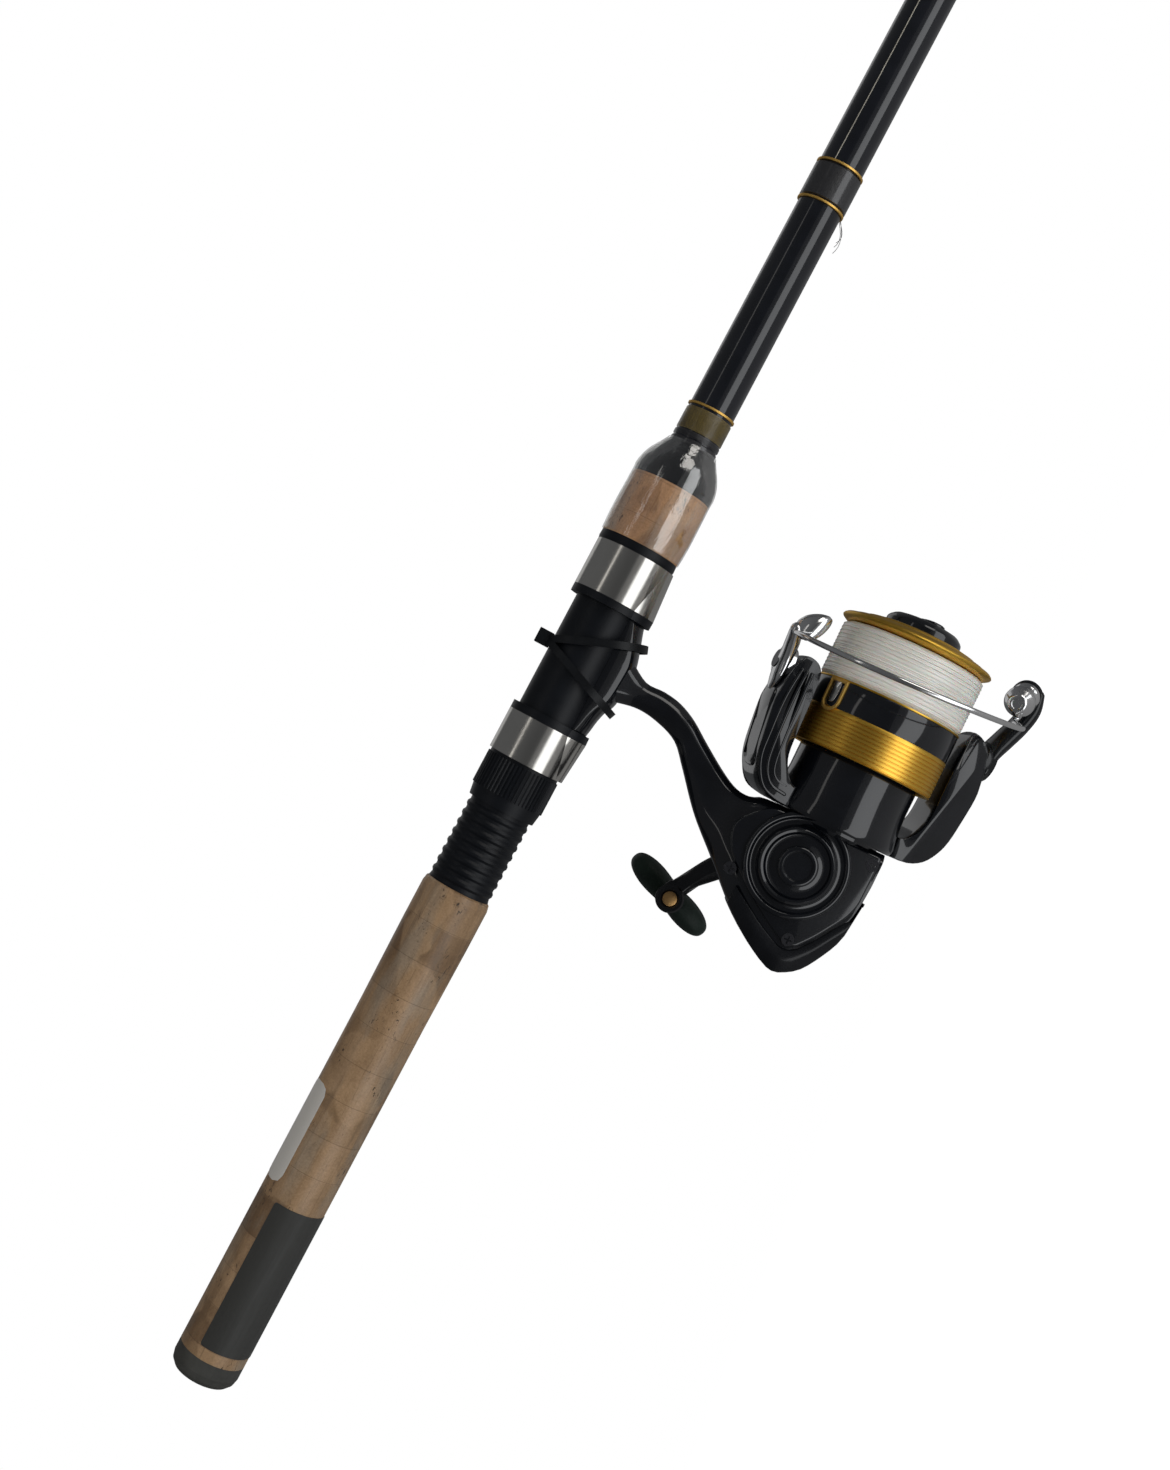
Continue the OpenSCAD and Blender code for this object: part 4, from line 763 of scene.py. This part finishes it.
# close together round the bottom's curve, then evenly up the stem
levels = [BOTTOM_Z, -18.15, -18.0, -17.6, -17, -16.2, -15, -13.6, -12, -10, -8, -6, -4.5, -3.4, -2, 0, 3, 6]
levels += [9 + 1.6 * k for k in range(44)]
levels.append(TOP_Z)
loft("body_shell", levels, body_section, "gloss_black", replaces=["reel_body"], sharp=50)

# foot that lies against the barrel: rounded ends, and a back whose radius follows FOOT_BACK
FOOT_FROM, FOOT_TO, FOOT_HALF = 224.8, 283.0, 7
BARREL_R = 10.74
FOOT_BACK = curve([(7.2, FOOT_FROM), (8.4, 232), (9.3, 236.5), (9.9, 240.5), (11, 244.5), (12.6, 248), (13.2, 258),
                   (12.9, 261.5), (11.6, 266), (9.6, 272), (8.6, 276), (7.2, FOOT_TO)])
verts, columns, across = [], 60, 17
for i in range(columns + 1):
    t = 0.5 - 0.5 * math.cos(math.pi * i / columns)
    x = FOOT_FROM + (FOOT_TO - FOOT_FROM) * t
    short = FOOT_HALF - min(x - FOOT_FROM, FOOT_TO - x, FOOT_HALF)
    half = math.sqrt(max(FOOT_HALF ** 2 - short ** 2, 0.04))
    r = value_at(FOOT_BACK, x)
    back, seat = [], []
    for k in range(across):
        y = half * math.sin(math.pi / 2 * (2 * k / (across - 1) - 1))
        barrel = -math.sqrt(BARREL_R ** 2 - y * y)
        z = -4 - math.sqrt(max(r * r - y * y, 0.01)) + 0.6 * abs(y / FOOT_HALF) ** 6
        back.append(rod(x, y, min(z, barrel - 0.02)))
        seat.append(rod(x, y, barrel))
    verts += back + seat[::-1]
piece("reel_foot", verts, strips(columns + 1, 2 * across, True, True), "rod_handle", "gloss_black", sharp=50)

# round front of the body, inside the rotor
collar = [(0, 13), (15.4, 13), (16.3, 14), (16.4, 18.4), (15.8, 19), (9.6, 19.4), (9.4, 29.6), (8.9, 30), (5, 30),
          (0, 30)]
lathe("body_collar", collar, lambda x, y, h: reel(h, x, y), "rod_handle", "gloss_black", 80, loop=False)

# bearing boss on the crank side
boss = [(0, 10.5), (9.6, 10.8), (9.5, 11.8), (8.3, 14.1), (7.8, 14.4), (0, 14.4)]
lathe("crank_boss", boss, side, "rod_handle", "gloss_black", 72, loop=False)

# side cover: a low plate with two raised rings and a screw cap
plate = [(4.0, 29.0, 8), (-4.2, 26.2, 9), (-13.2, 15.6, 9), (-19.4, 6.0, 9), (-23.4, -1.6, 2.5), (-22.8, -4.9, 2.5),
         (-17.4, -9.3, 4), (-11.9, -12.8, 4), (-7.6, -15.4, 3), (-3.0, -16.9, 4), (13.4, -17.2, 1.5), (13.4, 20, 4)]
prism("side_plate", rounded(plate, 3.0, 5), -14.0, -12.0, 0.8, lambda x, z, h: reel(x, h, z), "rod_handle",
      "gloss_black", replaces=["side_cover"])
lathe("cover_rings", [
    (0, -13.5), (16.6, -13.5), (16.6, -14.6), (16.2, -15.15), (15.6, -15.35), (15.0, -15.2), (14.6, -14.7),
    (14.0, -14.5), (13.2, -14.5), (12.6, -14.8), (12.1, -16.6), (11.7, -17.3), (11.1, -17.6), (10.4, -17.4),
    (10.0, -16.6), (9.4, -16.3), (7.4, -16.3), (7.0, -16.5), (0, -16.5)],
    side, "rod_handle", "gloss_black", 112, loop=False)
lathe("cap_disc", [
    (5.0, -15.8), (6.3, -16.2), (6.3, -19.4), (6.15, -20.0), (5.75, -20.4), (5.2, -20.55), (4.7, -20.45),
    (4.45, -20.1), (4.2, -19.8), (0, -19.75)],
    side, "rod_handle", "gloss_black", 80, loop=False, replaces=["screw_cap"])

# guard wrapped round the pointed back, following the body's own bevel
GUARD_EDGE = [(-13.5, 19.6), (-20.5, 8.5), (-24.6, 0.5), (-25.0, -3.2), (-23.0, -6.0), (-17.6, -10.2),
              (-12.2, -13.6), (-8.8, -16.2), (-8.0, -18.5)]


def guard_section(z):
    grow = 0.42 if -18.3 < z < 18.8 else 0.3
    rear = value_at(BACK_EDGE, max(z, -18.15)) - grow
    near, far = value_at(NEAR_SIDE, z) + grow, value_at(FAR_SIDE, z) + grow
    front = max(value_at(GUARD_EDGE, z), rear + 1.2)
    wide = min(7.5, (front - rear) * 0.6)
    fall = 3.4 * wide / 7.5
    corners = [(rear, -near + fall, 1.0), (rear + wide, -near, 1.2), (front, -near, 0.35), (front, far, 0.35),
               (rear + wide, far, 1.2), (rear, far - fall, 1.0)]
    return rounded(corners, 1.0, 4)


levels = [-18.62, -18.6, -18.4, -18.0, -17.4, -16.6, -15.6, -14.4, -13, -11.5, *range(-10, 0, 2), *range(0, 18, 3),
          17, 18.6, 19.2, 19.3]
loft("back_guard", levels, guard_section, "satin_black", slot="gloss_black", replaces=["rear_guard"], sharp=40)

# ---------- Rotor ----------

HUB = [(17.7, 15), (20.3, 14.9), (20.9, 15.6), (21.0, 17), (20.5, 20), (20.0, 24), (19.7, 28), (19.7, 35.4),
       (19.3, 36.6), (18.4, 37), (5, 37), (5, 38.5), (3.03, 38.5), (3.03, 30.6), (9, 30.6), (9, 34.4), (17.7, 34.4)]
lathe("rotor_cup", HUB, rotor, "rotor", "gloss_black", 112, replaces=["rotor"])

# an arm's side view as (distance from the axis, height)
ARM = curve([(18.6, 14.9), (25, 15.4), (29.6, 17.8), (32.7, 21.9), (34.7, 27), (36, 35), (36.9, 43), (36.5, 48),
             (35.4, 55), (33.4, 60), (31, 62), (28.6, 61.6), (27, 59), (26.2, 54), (25.7, 43), (25.5, 32),
             (24.3, 27), (21.4, 22.9), (18.6, 21.6)], 3)
ARM_OUTSIDE = curve([(29.2, 17.8), (32.5, 21.9), (34.5, 27), (35.8, 35), (36.8, 43), (36.3, 48)])
COVER = rounded([(0, 21.5), (4.2, 21.9), (5.6, 24), (5.6, 44), (4.4, 46.4), (0, 46.9), (-4.4, 46.4), (-5.6, 44),
                 (-5.6, 24), (-4.2, 21.9)], 1.2, 3)
ARM_TOP = 54  # the arm's end is round above this height


def arm_half(c):
    """Half width of a rotor arm at a height: wide at the cup, round at the pivot."""
    if c < ARM_TOP:
        return 9.5 - (c - 14) * (2.2 / 40)
    return max(7.3 * math.sqrt(max(1 - ((c - ARM_TOP) / 8.4) ** 2, 0.02)), 1.0)


def arm_place(flip):
    """The upper arm ends a little lower than the one that carries the line roller."""
    def place(r, c, h):
        top = ARM_TOP + (c - ARM_TOP) * 0.72 if flip == 1 and c > ARM_TOP else c
        return rotor(flip * r, flip * h * arm_half(c), top)
    return place


def cover_place(flip):
    return lambda b, c, h: rotor(flip * (value_at(ARM_OUTSIDE, c) + h), flip * b, c)


def add_ridges(place):
    """Ridges that follow the upper arm on both of its faces."""
    for k, shift in enumerate((-2.3, 0.2, 2.6)):
        path = curve([(21.5 - shift * 0.3, 18.2 - shift), (27.0 + shift * 0.5, 19.4 - shift * 0.8),
                      (30.3 + shift, 24.5), (31.2 + shift, 34), (31.4 + shift, 45), (31.0 + shift * 0.7, 55)])
        for hand, face in ((-1, "near"), (1, "far")):
            depth = hand * (0.985 - 0.018 * abs(shift))
            route, sizes = nosed([place(r, c, depth) for r, c in path], [0.62 * MM] * len(path), 3)
            tube(f"arm_ridge_upper_{k}_{face}", route, sizes, vec, "rotor", "gloss_black", 10, up=ROTOR_B)


for name, flip in (("upper", 1), ("lower", -1)):
    prism(f"rotor_arm_{name}", ARM, -1, 1, 0.34, arm_place(flip), "rotor", "gloss_black", 7, sharp=60)
    if flip == 1:
        add_ridges(arm_place(flip))
    # raised cover on the outside of the arm
    prism(f"arm_cover_{name}", COVER, -0.9, 0.75, 0.45, cover_place(flip), "rotor", "gloss_black",
          replaces=["arm_covers"] if flip == 1 else ())

# ---------- Bail ----------

PIVOT_C = 55.0
LEVER_END = vec(-41, 0, 80.5)
LEVER_DIR = vec(0.5, 0.78, -0.375).normalized()
LEVER_FACE = 6.5


def lever(name, path, sizes, material, replaces, up):
    """A flat lever through points in the rotor's frame, with its half width and thickness at each."""
    sizes = smooth([(*s, 0) for s in sizes])
    points, radii = nosed(smooth(path), [(s[0], s[1]) for s in sizes])
    return tube(name, points, radii, rotor, "bail", material, 28, up=up, replaces=replaces)


def roll(x, y, h):
    """Round pieces on the line roller's axis, with the height from the lever's face."""
    return roller(x, y, h - LEVER_FACE)


def add_hub(name, radius, rim, hand, material):
    """Round end of a lever over its pivot. hand is the arm's side."""
    profile = [(0, 34.7), (radius - 0.4, 34.7), (radius, 35.2), (radius, rim), (radius - 0.5, 38.9), (3.3, 38.9),
               (3.1, 38.5), (0, 38.5)]
    lathe(name, [(r, hand * h) for r, h in profile], lambda x, y, h: rotor(h, x, PIVOT_C + y), "bail", material, 56,
          loop=False)


lever("roller_lever", [(-36.9, 0, 52), (-37.6, 0, 58), (-40.0, 0, 64), (-42.6, 0.2, 70.5), (-43.8, 0.6, 76.5),
                       (-43.2, 0.8, 81.5)],
      [(6.2, 2.4), (6.0, 2.9), (5.2, 3.2), (4.6, 3.2), (4.6, 3.0), (4.4, 2.2)], "lever_black", ["bail_arm"],
      vec(-1, 0, 0.1))
foot = [(0, -0.35), (4.0, -0.3), (4.8, 0.2), (5.1, 0.9), (5.1, 1.8), (4.7, 2.45), (4.2, 2.6), (0, 2.6)]
lathe("lever_foot", foot, roll, "bail", "lever_black", 56, loop=False)
add_hub("lever_hub", 6.4, 38.2, -1, "lever_black")

lever("holder_lever", [(36.9, -1.4, 46.8), (37.4, 0.2, 51), (38.0, 2.6, 57), (39.4, 6.2, 61.6), (41.0, 9.6, 64.6)],
      [(2.4, 1.3), (4.4, 1.9), (3.9, 2.2), (3.0, 2.3), (2.3, 2.0)], "chrome", ["bail_holder"], vec(1, 0, 0))
add_hub("holder_hub", 5.2, 38.3, 1, "chrome")


def add_scoop():
    """Spoon-shaped ear: a shallow bowl with a rolled rim, leaning in over the spool."""
    middle = vec(36.8, 10.6, 67.9)
    length = vec(-0.66, 0.10, 0.74).normalized()
    facing = vec(-0.55, -0.66, -0.30)
    facing = (facing - length * facing.dot(length)).normalized()
    across = length.cross(facing)
    half_length, half_width, turns = 5.6, 3.9, 40
    # (scale, depth) from the middle of the bowl over the rim to the middle of the back
    profile = [(0.0, -1.6), (0.35, -1.45), (0.62, -0.9), (0.82, 0.2), (0.92, 0.9), (1.0, 1.0), (1.06, 0.6),
               (1.0, -0.5), (0.8, -1.9), (0.5, -2.6), (0.2, -2.9), (0.0, -2.95)]
    rows = []
    for scale, depth in profile:
        for k in range(turns):
            a = 2 * math.pi * k / turns
            along = half_length * math.cos(a) * scale
            wide = half_width * (1 - 0.34 * math.cos(a)) * math.sin(a) * scale
            rows.append(rotor(*(middle + length * along + across * wide + facing * depth)))
    piece("line_scoop", rows, strips(len(profile), turns, True), "bail", "chrome", sharp=60)


add_scoop()

# wire: a half loop and its return to the roller
LOOP_R, LOOP_Y, LOOP_C, LEAN, SLOPE, WIRE_R = 38.4, 10.5, 66.6, math.radians(6.6), 0.074, 0.85
LOOP_SHIFT = 2.9
loop = []
for k in range(49):
    a = math.pi * k / 48
    x, y = LOOP_R * math.cos(a), LOOP_R * math.sin(a)
    loop.append(vec(x + LOOP_SHIFT, LOOP_Y + y * math.cos(LEAN), LOOP_C - y * math.sin(LEAN) - x * SLOPE))
wire_end = LEVER_END + LEVER_DIR * 14.2 + vec(-2.2, 0, -1.8)
tail = smooth([loop[-1], (-36.4, 9.2, 70.6), (-37.2, 9.2, 72.0), wire_end], 5)
tube("wire_loop", loop + tail[1:], WIRE_R, rotor, "bail", "chrome", 16, up=vec(0.05, 0.02, 1),
     replaces=["bail_wire"])

cone = [(0, 2.8), (1.5, 2.8), (1.5, 10.1), (4.7, 10.1), (4.95, 10.5), (4.9, 11.5), (4.4, 12.2), (3.3, 14.2),
        (2.9, 14.8), (2.4, 15.0), (1.7, 15.0), (1.5, 14.6), (0, 14.6)]
lathe("roller_cone", cone, roll, "bail", "chrome", 56, loop=False, replaces=["roller_cap"])
drum = [(1.6, 3), (4.3, 3), (4.62, 3.2), (4.6, 3.7), (4.1, 4.4), (3.4, 5.4), (3.12, 6.6), (3.4, 8), (4.1, 8.9),
        (4.6, 9.4), (4.6, 9.8), (4.3, 9.92), (1.6, 9.9)]
lathe("roller_drum", drum, roll, "roller", "chrome", 56, replaces=["line_roller"])

# ---------- Spool ----------

SKIRT_R, LIP_R = 23.9, 25.2
GROOVES, GROOVE_PITCH = 9, 1.28
spool_profile = [
    (22.6, 36.3), (22.6, 55.4), (4.8, 55.4), (1.6, 55.4), (1.6, 66), (13.3, 66), (13.3, 80.8), (13.6, 81.15),
    (15.4, 81.2), (15.9, 80.9), (18.4, 80.55), (18.8, 80.15), (22.0, 79.5), (22.4, 79.25), (24.4, 78.75),
    (25.0, 78.3),
    (LIP_R, 77.9), (25.0, 77.5), (24.4, 77.1), (23, 76.3), (16.5, 75.8), (16.5, 57.8), (23.4, 57.75),
    (SKIRT_R, 57.7), (SKIRT_R + 0.05, 57.3), (23.75, 57.15), (23.3, 57.1), (23.3, 48.3), (23.75, 48.25)]
for i in range(GROOVES):
    z = 47.9 - i * GROOVE_PITCH
    spool_profile += [(SKIRT_R, z), (SKIRT_R, z - 0.82), (SKIRT_R - 0.34, z - 0.95), (SKIRT_R - 0.34, z - 1.13)]
spool_profile += [(SKIRT_R, 36.2), (SKIRT_R - 0.25, 36), (22.9, 36)]
lathe("spool_shell", spool_profile, rotor, "spool", "spool_gold", 144, replaces=["spool"], sharp=30)
band = [(23.32, 48.4), (23.75, 48.4), (23.84, 48.6), (23.84, 56.9), (23.75, 57.05), (23.32, 57.05)]
lathe("skirt_band", band, rotor, "spool", "gloss_black", 128, replaces=["spool_band"])

# wound line: turns of slightly different height, rounded off at both flanges
LINE_R, LINE_FROM, LINE_LENGTH, LINE_EDGE, LINE_TURNS = 23.72, 58.1, 17.6, 0.9, 58
line_points = [(16.52, 57.85), (23.0, 57.85)]
for i in range(LINE_TURNS):
    t = i / (LINE_TURNS - 1)
    z = LINE_FROM + LINE_LENGTH * t
    near_flange = max(0, 1 - min(t, 1 - t) * LINE_LENGTH / LINE_EDGE)
    r = LINE_R - LINE_EDGE * near_flange ** 2 + 0.14 * math.sin(i * 2.3) * math.sin(i * 0.71)
    line_points += [(r, z), (r - 0.11, z + 0.16)]
line_points += [(22.4, 75.72), (16.52, 75.72)]
lathe("line_turns", line_points, rotor, "spool", "line", 128, replaces=["line_winding"], sharp=80)

# gold-edged clip that holds the line's end
CLIP_ANGLE = math.radians(26)
CLIP_HALF, CLIP_TOP, CLIP_BEND = 3.7, 57.2, 50.4


def on_skirt(u, c, h):
    """u millimetres round the skirt from the clip, h above the skirt."""
    a = CLIP_ANGLE + u / SKIRT_R
    return rotor((SKIRT_R + h) * math.cos(a), (SKIRT_R + h) * math.sin(a), c)


shield = [(-CLIP_HALF, CLIP_TOP), (CLIP_HALF, CLIP_TOP), (CLIP_HALF, CLIP_BEND + 1)]
for degrees in range(-10, -171, -20):
    a = math.radians(degrees)
    shield.append((CLIP_HALF * math.cos(a), CLIP_BEND + CLIP_HALF * math.sin(a)))
shield.append((-CLIP_HALF, CLIP_BEND + 1))
verts = []
for amount, h in ((0, -0.1), (0, 0.5), (0.2, 0.68), (0.85, 0.68), (1.05, 0.5), (1.05, -0.1)):
    verts += [on_skirt(p[0], p[1], h) for p in inset(shield, amount)]
n = len(shield)
faces = strips(6, n, True) + [(5 * n + k, 5 * n + (k + 1) % n, (k + 1) % n, k) for k in range(n)]
piece("clip_frame", verts, faces, "spool", "gold_trim", replaces=["line_clip"])
tongue = rounded([(-1.5, 56.6), (1.5, 56.6), (1.6, 52), (0.9, 49.6), (-0.9, 49.6), (-1.6, 52)], 0.8, 3)
prism("clip_tongue", tongue, -0.1, 0.45, 0.2, on_skirt, "spool", "stainless")

# drag knob: a round cap with a bevelled edge and a low grip bar
cap = [(0, 73), (6, 73), (6, 78), (11.8, 78.1), (12.3, 78.5), (12.5, 79.3), (12.5, 82.9), (12.3, 83.5), (11.8, 84.1),
       (10.8, 84.9), (10.2, 85.2), (9.0, 85.45), (5, 85.7), (0, 85.8)]
lathe("drag_cap", cap, rotor, "drag_knob", "gloss_black", 96, loop=False, replaces=["drag_knob"])


def squared(value, power):
    """A sine or cosine pushed outwards, which turns a circle into a rounded block."""
    return math.copysign(abs(value) ** power, value)


BAR_HALF, BAR_REACH, turns = 4.2, 9.2, 72
verts = []
for h, grow in ((85.0, 0.0), (85.7, 0.0), (86.05, -0.25), (86.25, -0.8), (86.35, -1.8)):
    for k in range(turns):
        a = 2 * math.pi * k / turns
        verts.append(rotor(squared(math.cos(a), 0.75) * (BAR_HALF + grow),
                           squared(math.sin(a), 0.8) * (BAR_REACH + grow), h))
piece("drag_bar", verts, strips(5, turns, True, True), "drag_knob", "gloss_black", sharp=60)

# ---------- Crank and knob ----------

HUB_R, BOSS_R, ARM_BOW = 4.6, 4.9, 5.5
BOSS_FROM = REACH - 4.2


def arm_width(u):
    """Half width of the arm: round at both ends and tapered between them."""
    if u > BOSS_FROM:
        return max(math.sqrt(max(BOSS_R ** 2 - (u - REACH) ** 2, 0.01)), 0.6)
    if u < 0:
        return max(math.sqrt(max(HUB_R ** 2 - u * u, 0.01)), 0.6)
    t = u / BOSS_FROM
    return 3.3 * (1 - t) + 2.1 * t


def on_arm(u, y, h):
    """The arm bows to one side of the straight line between the axes, as its CAD outline does."""
    t = min(max(u / REACH, 0), 1)
    return crank(u, 4 * ARM_BOW * t * (1 - t) + h * arm_width(u), y)


# the arm seen edge on, cut into short steps so that it can bow
edge_on = rounded([(-HUB_R, 36.9), (0, 36.6), (6, 36.9), (REACH - 7, 43.9), (REACH + BOSS_R, 44.0),
                   (REACH + BOSS_R, 48.9), (REACH - 6, 48.9), (6, 43.0), (0, 42.4), (-HUB_R, 42.0)], 1.6, 4)
dense = []
for i, p in enumerate(edge_on):
    q = edge_on[(i + 1) % len(edge_on)]
    steps = max(1, int((q - p).length / 0.8))
    dense += [tuple(p + (q - p) * k / steps) for k in range(steps)]
prism("crank_arm", dense, -1, 1, 0.3, on_arm, "crank", "lever_black", 5, replaces=["handle_arm"])
hub = [(2.6, 15.3), (6.3, 15.3), (6.6, 15.6), (6.6, 16.8), (6.3, 17.2), (4.5, 17.6), (4.3, 18.4), (4.3, 36),
       (4.5, 39), (2.6, 39)]
lathe("crank_hub", hub, crank, "crank", "lever_black", 56)


def at_knob(u, w, y):
    return crank(REACH + u, w, y)


boss = [(2.7, 43.7), (3.2, 43.2), (4.3, 43.2), (4.9, 43.8), (4.95, 45), (4.9, 48.6), (2.7, 48.6)]
lathe("knob_boss", boss, at_knob, "crank", "lever_black", 56)
rivet = [(0, 42.9), (1.7, 42.95), (2.45, 43.15), (2.62, 43.5), (2.6, 43.9), (2.02, 44), (2.02, 69), (0, 69)]
lathe("rivet_head", rivet, at_knob, "crank", "brass", 48, loop=False, replaces=["knob_rivet"])

knob_lo, knob_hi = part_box("handle_knob")
KNOB_Y0 = knob_lo.y / MM
KNOB_DEPTH = (knob_hi.y - knob_lo.y) / MM
KNOB_TURN = math.radians(20)
PADDLE_HALF, PADDLE_DEEP, PADDLE_THICK = 18.0, 9, 5.2


def turned_knob(u, w, y):
    c, s = math.cos(KNOB_TURN), math.sin(KNOB_TURN)
    return at_knob(u * c + w * s, w * c - u * s, y)


def add_paddle():
    """The paddle as rings stacked along its length, from one rounded end to the other."""
    verts, rows, turns = [], 41, 40
    middle = KNOB_Y0 + KNOB_DEPTH - PADDLE_DEEP
    for i in range(rows):
        place = math.sin(math.pi / 2 * (-1 + 2 * i / (rows - 1)))
        w = PADDLE_HALF * place
        end = math.sqrt(max(1 - abs(place) ** 3.2, 0.0))
        waist = 1 - 0.16 * math.exp(-(w / 6) ** 2)
        thick = PADDLE_THICK * waist * end ** 0.8 + 0.02
        deep = PADDLE_DEEP * end ** 0.7 + 0.02
        for k in range(turns):
            a = 2 * math.pi * k / turns
            u = thick * squared(math.cos(a), 0.8)
            verts.append(turned_knob(u, w, middle + deep * squared(math.sin(a), 0.8)))
    piece("knob_paddle", verts, strips(rows, turns, True, True), "knob", "knob_rubber", replaces=["handle_knob"],
          sharp=80)


add_paddle()
neck = [(2.1, 0.05), (4.2, 0.05), (4.6, 0.5), (4.5, 2), (4.6, 5), (5.0, 9), (2.1, 9)]
lathe("knob_neck", [(r, KNOB_Y0 + y) for r, y in neck], at_knob, "knob", "knob_rubber", 48)

# ---------- Stage ----------


def add_stage():
    mesh = bpy.data.meshes.new("floor")
    radius, corners = 3.0, 64
    drop = cad_box[0].z - 0.50
    middle = (cad_box[0].x + cad_box[1].x) / 2
    ring = []
    for k in range(corners):
        a = 2 * math.pi * k / corners
        ring.append((middle + radius * math.cos(a), radius * math.sin(a), drop))
    mesh.from_pydata(ring, [], [tuple(range(corners))])
    floor = bpy.data.objects.new("floor", mesh)
    bpy.context.scene.collection.objects.link(floor)
    s = Shader("floor", (0.92, 0.92, 0.92), 0.9)
    speck = s.noise(s.place((0.02, 0.02, 0.02)), 1.0, 3.0)
    pale = s.ramp(speck, [(0.3, (0.90, 0.90, 0.90)), (0.7, (0.94, 0.94, 0.94))])
    s.set("Emission Color", (1, 1, 1, 1))
    # the floor looks white but throws little light back at the object
    seen = s.node("LightPath").outputs["Is Camera Ray"]
    s.set("Emission Strength", s.fade(seen, 0, 1, 0.16, 1.0))
    s.set("Base Color", s.mix(seen, (0.30, 0.30, 0.31), pale))
    mesh.materials.append(s.material)


def add_light(name, where, aim, size, power, color=(1, 1, 1), mirrored=True):
    data = bpy.data.lights.new(name, "AREA")
    data.shape = "RECTANGLE"
    data.size, data.size_y = size
    data.energy = power
    data.color = color
    obj = bpy.data.objects.new(name, data)
    obj.visible_glossy = mirrored
    bpy.context.scene.collection.objects.link(obj)
    obj.location = where
    obj.rotation_mode = "QUATERNION"
    obj.rotation_quaternion = (Vector(aim) - Vector(where)).to_track_quat("-Z", "Y")


def add_world():
    world = bpy.data.worlds.new("studio")
    bpy.context.scene.world = world
    world.use_nodes = True
    tree = world.node_tree
    tree.nodes.clear()
    out = tree.nodes.new("ShaderNodeOutputWorld")
    seen = tree.nodes.new("ShaderNodeBackground")
    seen.inputs["Color"].default_value = (1, 1, 1, 1)
    lit = tree.nodes.new("ShaderNodeBackground")
    place = tree.nodes.new("ShaderNodeTexCoord")
    split = tree.nodes.new("ShaderNodeSeparateXYZ")
    tree.links.new(place.outputs["Generated"], split.inputs[0])
    tone = tree.nodes.new("ShaderNodeValToRGB")
    for point, (where, value) in zip(tone.color_ramp.elements, ((0.0, 0.20), (1.0, 0.34))):
        point.position = where
        point.color = (value, value * 1.02, value * 1.06, 1)
    tree.links.new(split.outputs["Z"], tone.inputs[0])
    tree.links.new(tone.outputs[0], lit.inputs["Color"])
    lit.inputs["Strength"].default_value = 0.4
    path = tree.nodes.new("ShaderNodeLightPath")
    mix = tree.nodes.new("ShaderNodeMixShader")
    tree.links.new(path.outputs["Is Camera Ray"], mix.inputs[0])
    tree.links.new(lit.outputs[0], mix.inputs[1])
    tree.links.new(seen.outputs[0], mix.inputs[2])
    tree.links.new(mix.outputs[0], out.inputs[0])


add_stage()
add_world()
# the key light is kept out of reflections, so that black parts stay black
add_light("key", (0.25, -0.75, 0.85), (0.25, 0, -0.05), (1.6, 0.8), 3.6, (1.0, 0.96, 0.91), False)
add_light("front", (0.40, -0.415, -0.45), (0.34, 0, -0.04), (1.3, 0.34), 2.8, (0.96, 0.98, 1.0))
add_light("end", (1.15, -0.50, -0.15), (0.33, 0, -0.08), (0.5, 0.4), 1.6, (1.0, 0.97, 0.93))
add_light("strip", (0.20, -0.62, 0.62), (0.25, 0, -0.05), (1.0, 0.07), 0.25, (1.0, 0.97, 0.93))
add_light("back", (0.4, 0.9, 0.6), (0.25, 0, -0.05), (1.2, 0.6), 0.9)
bpy.context.scene.view_settings.view_transform = "Standard"
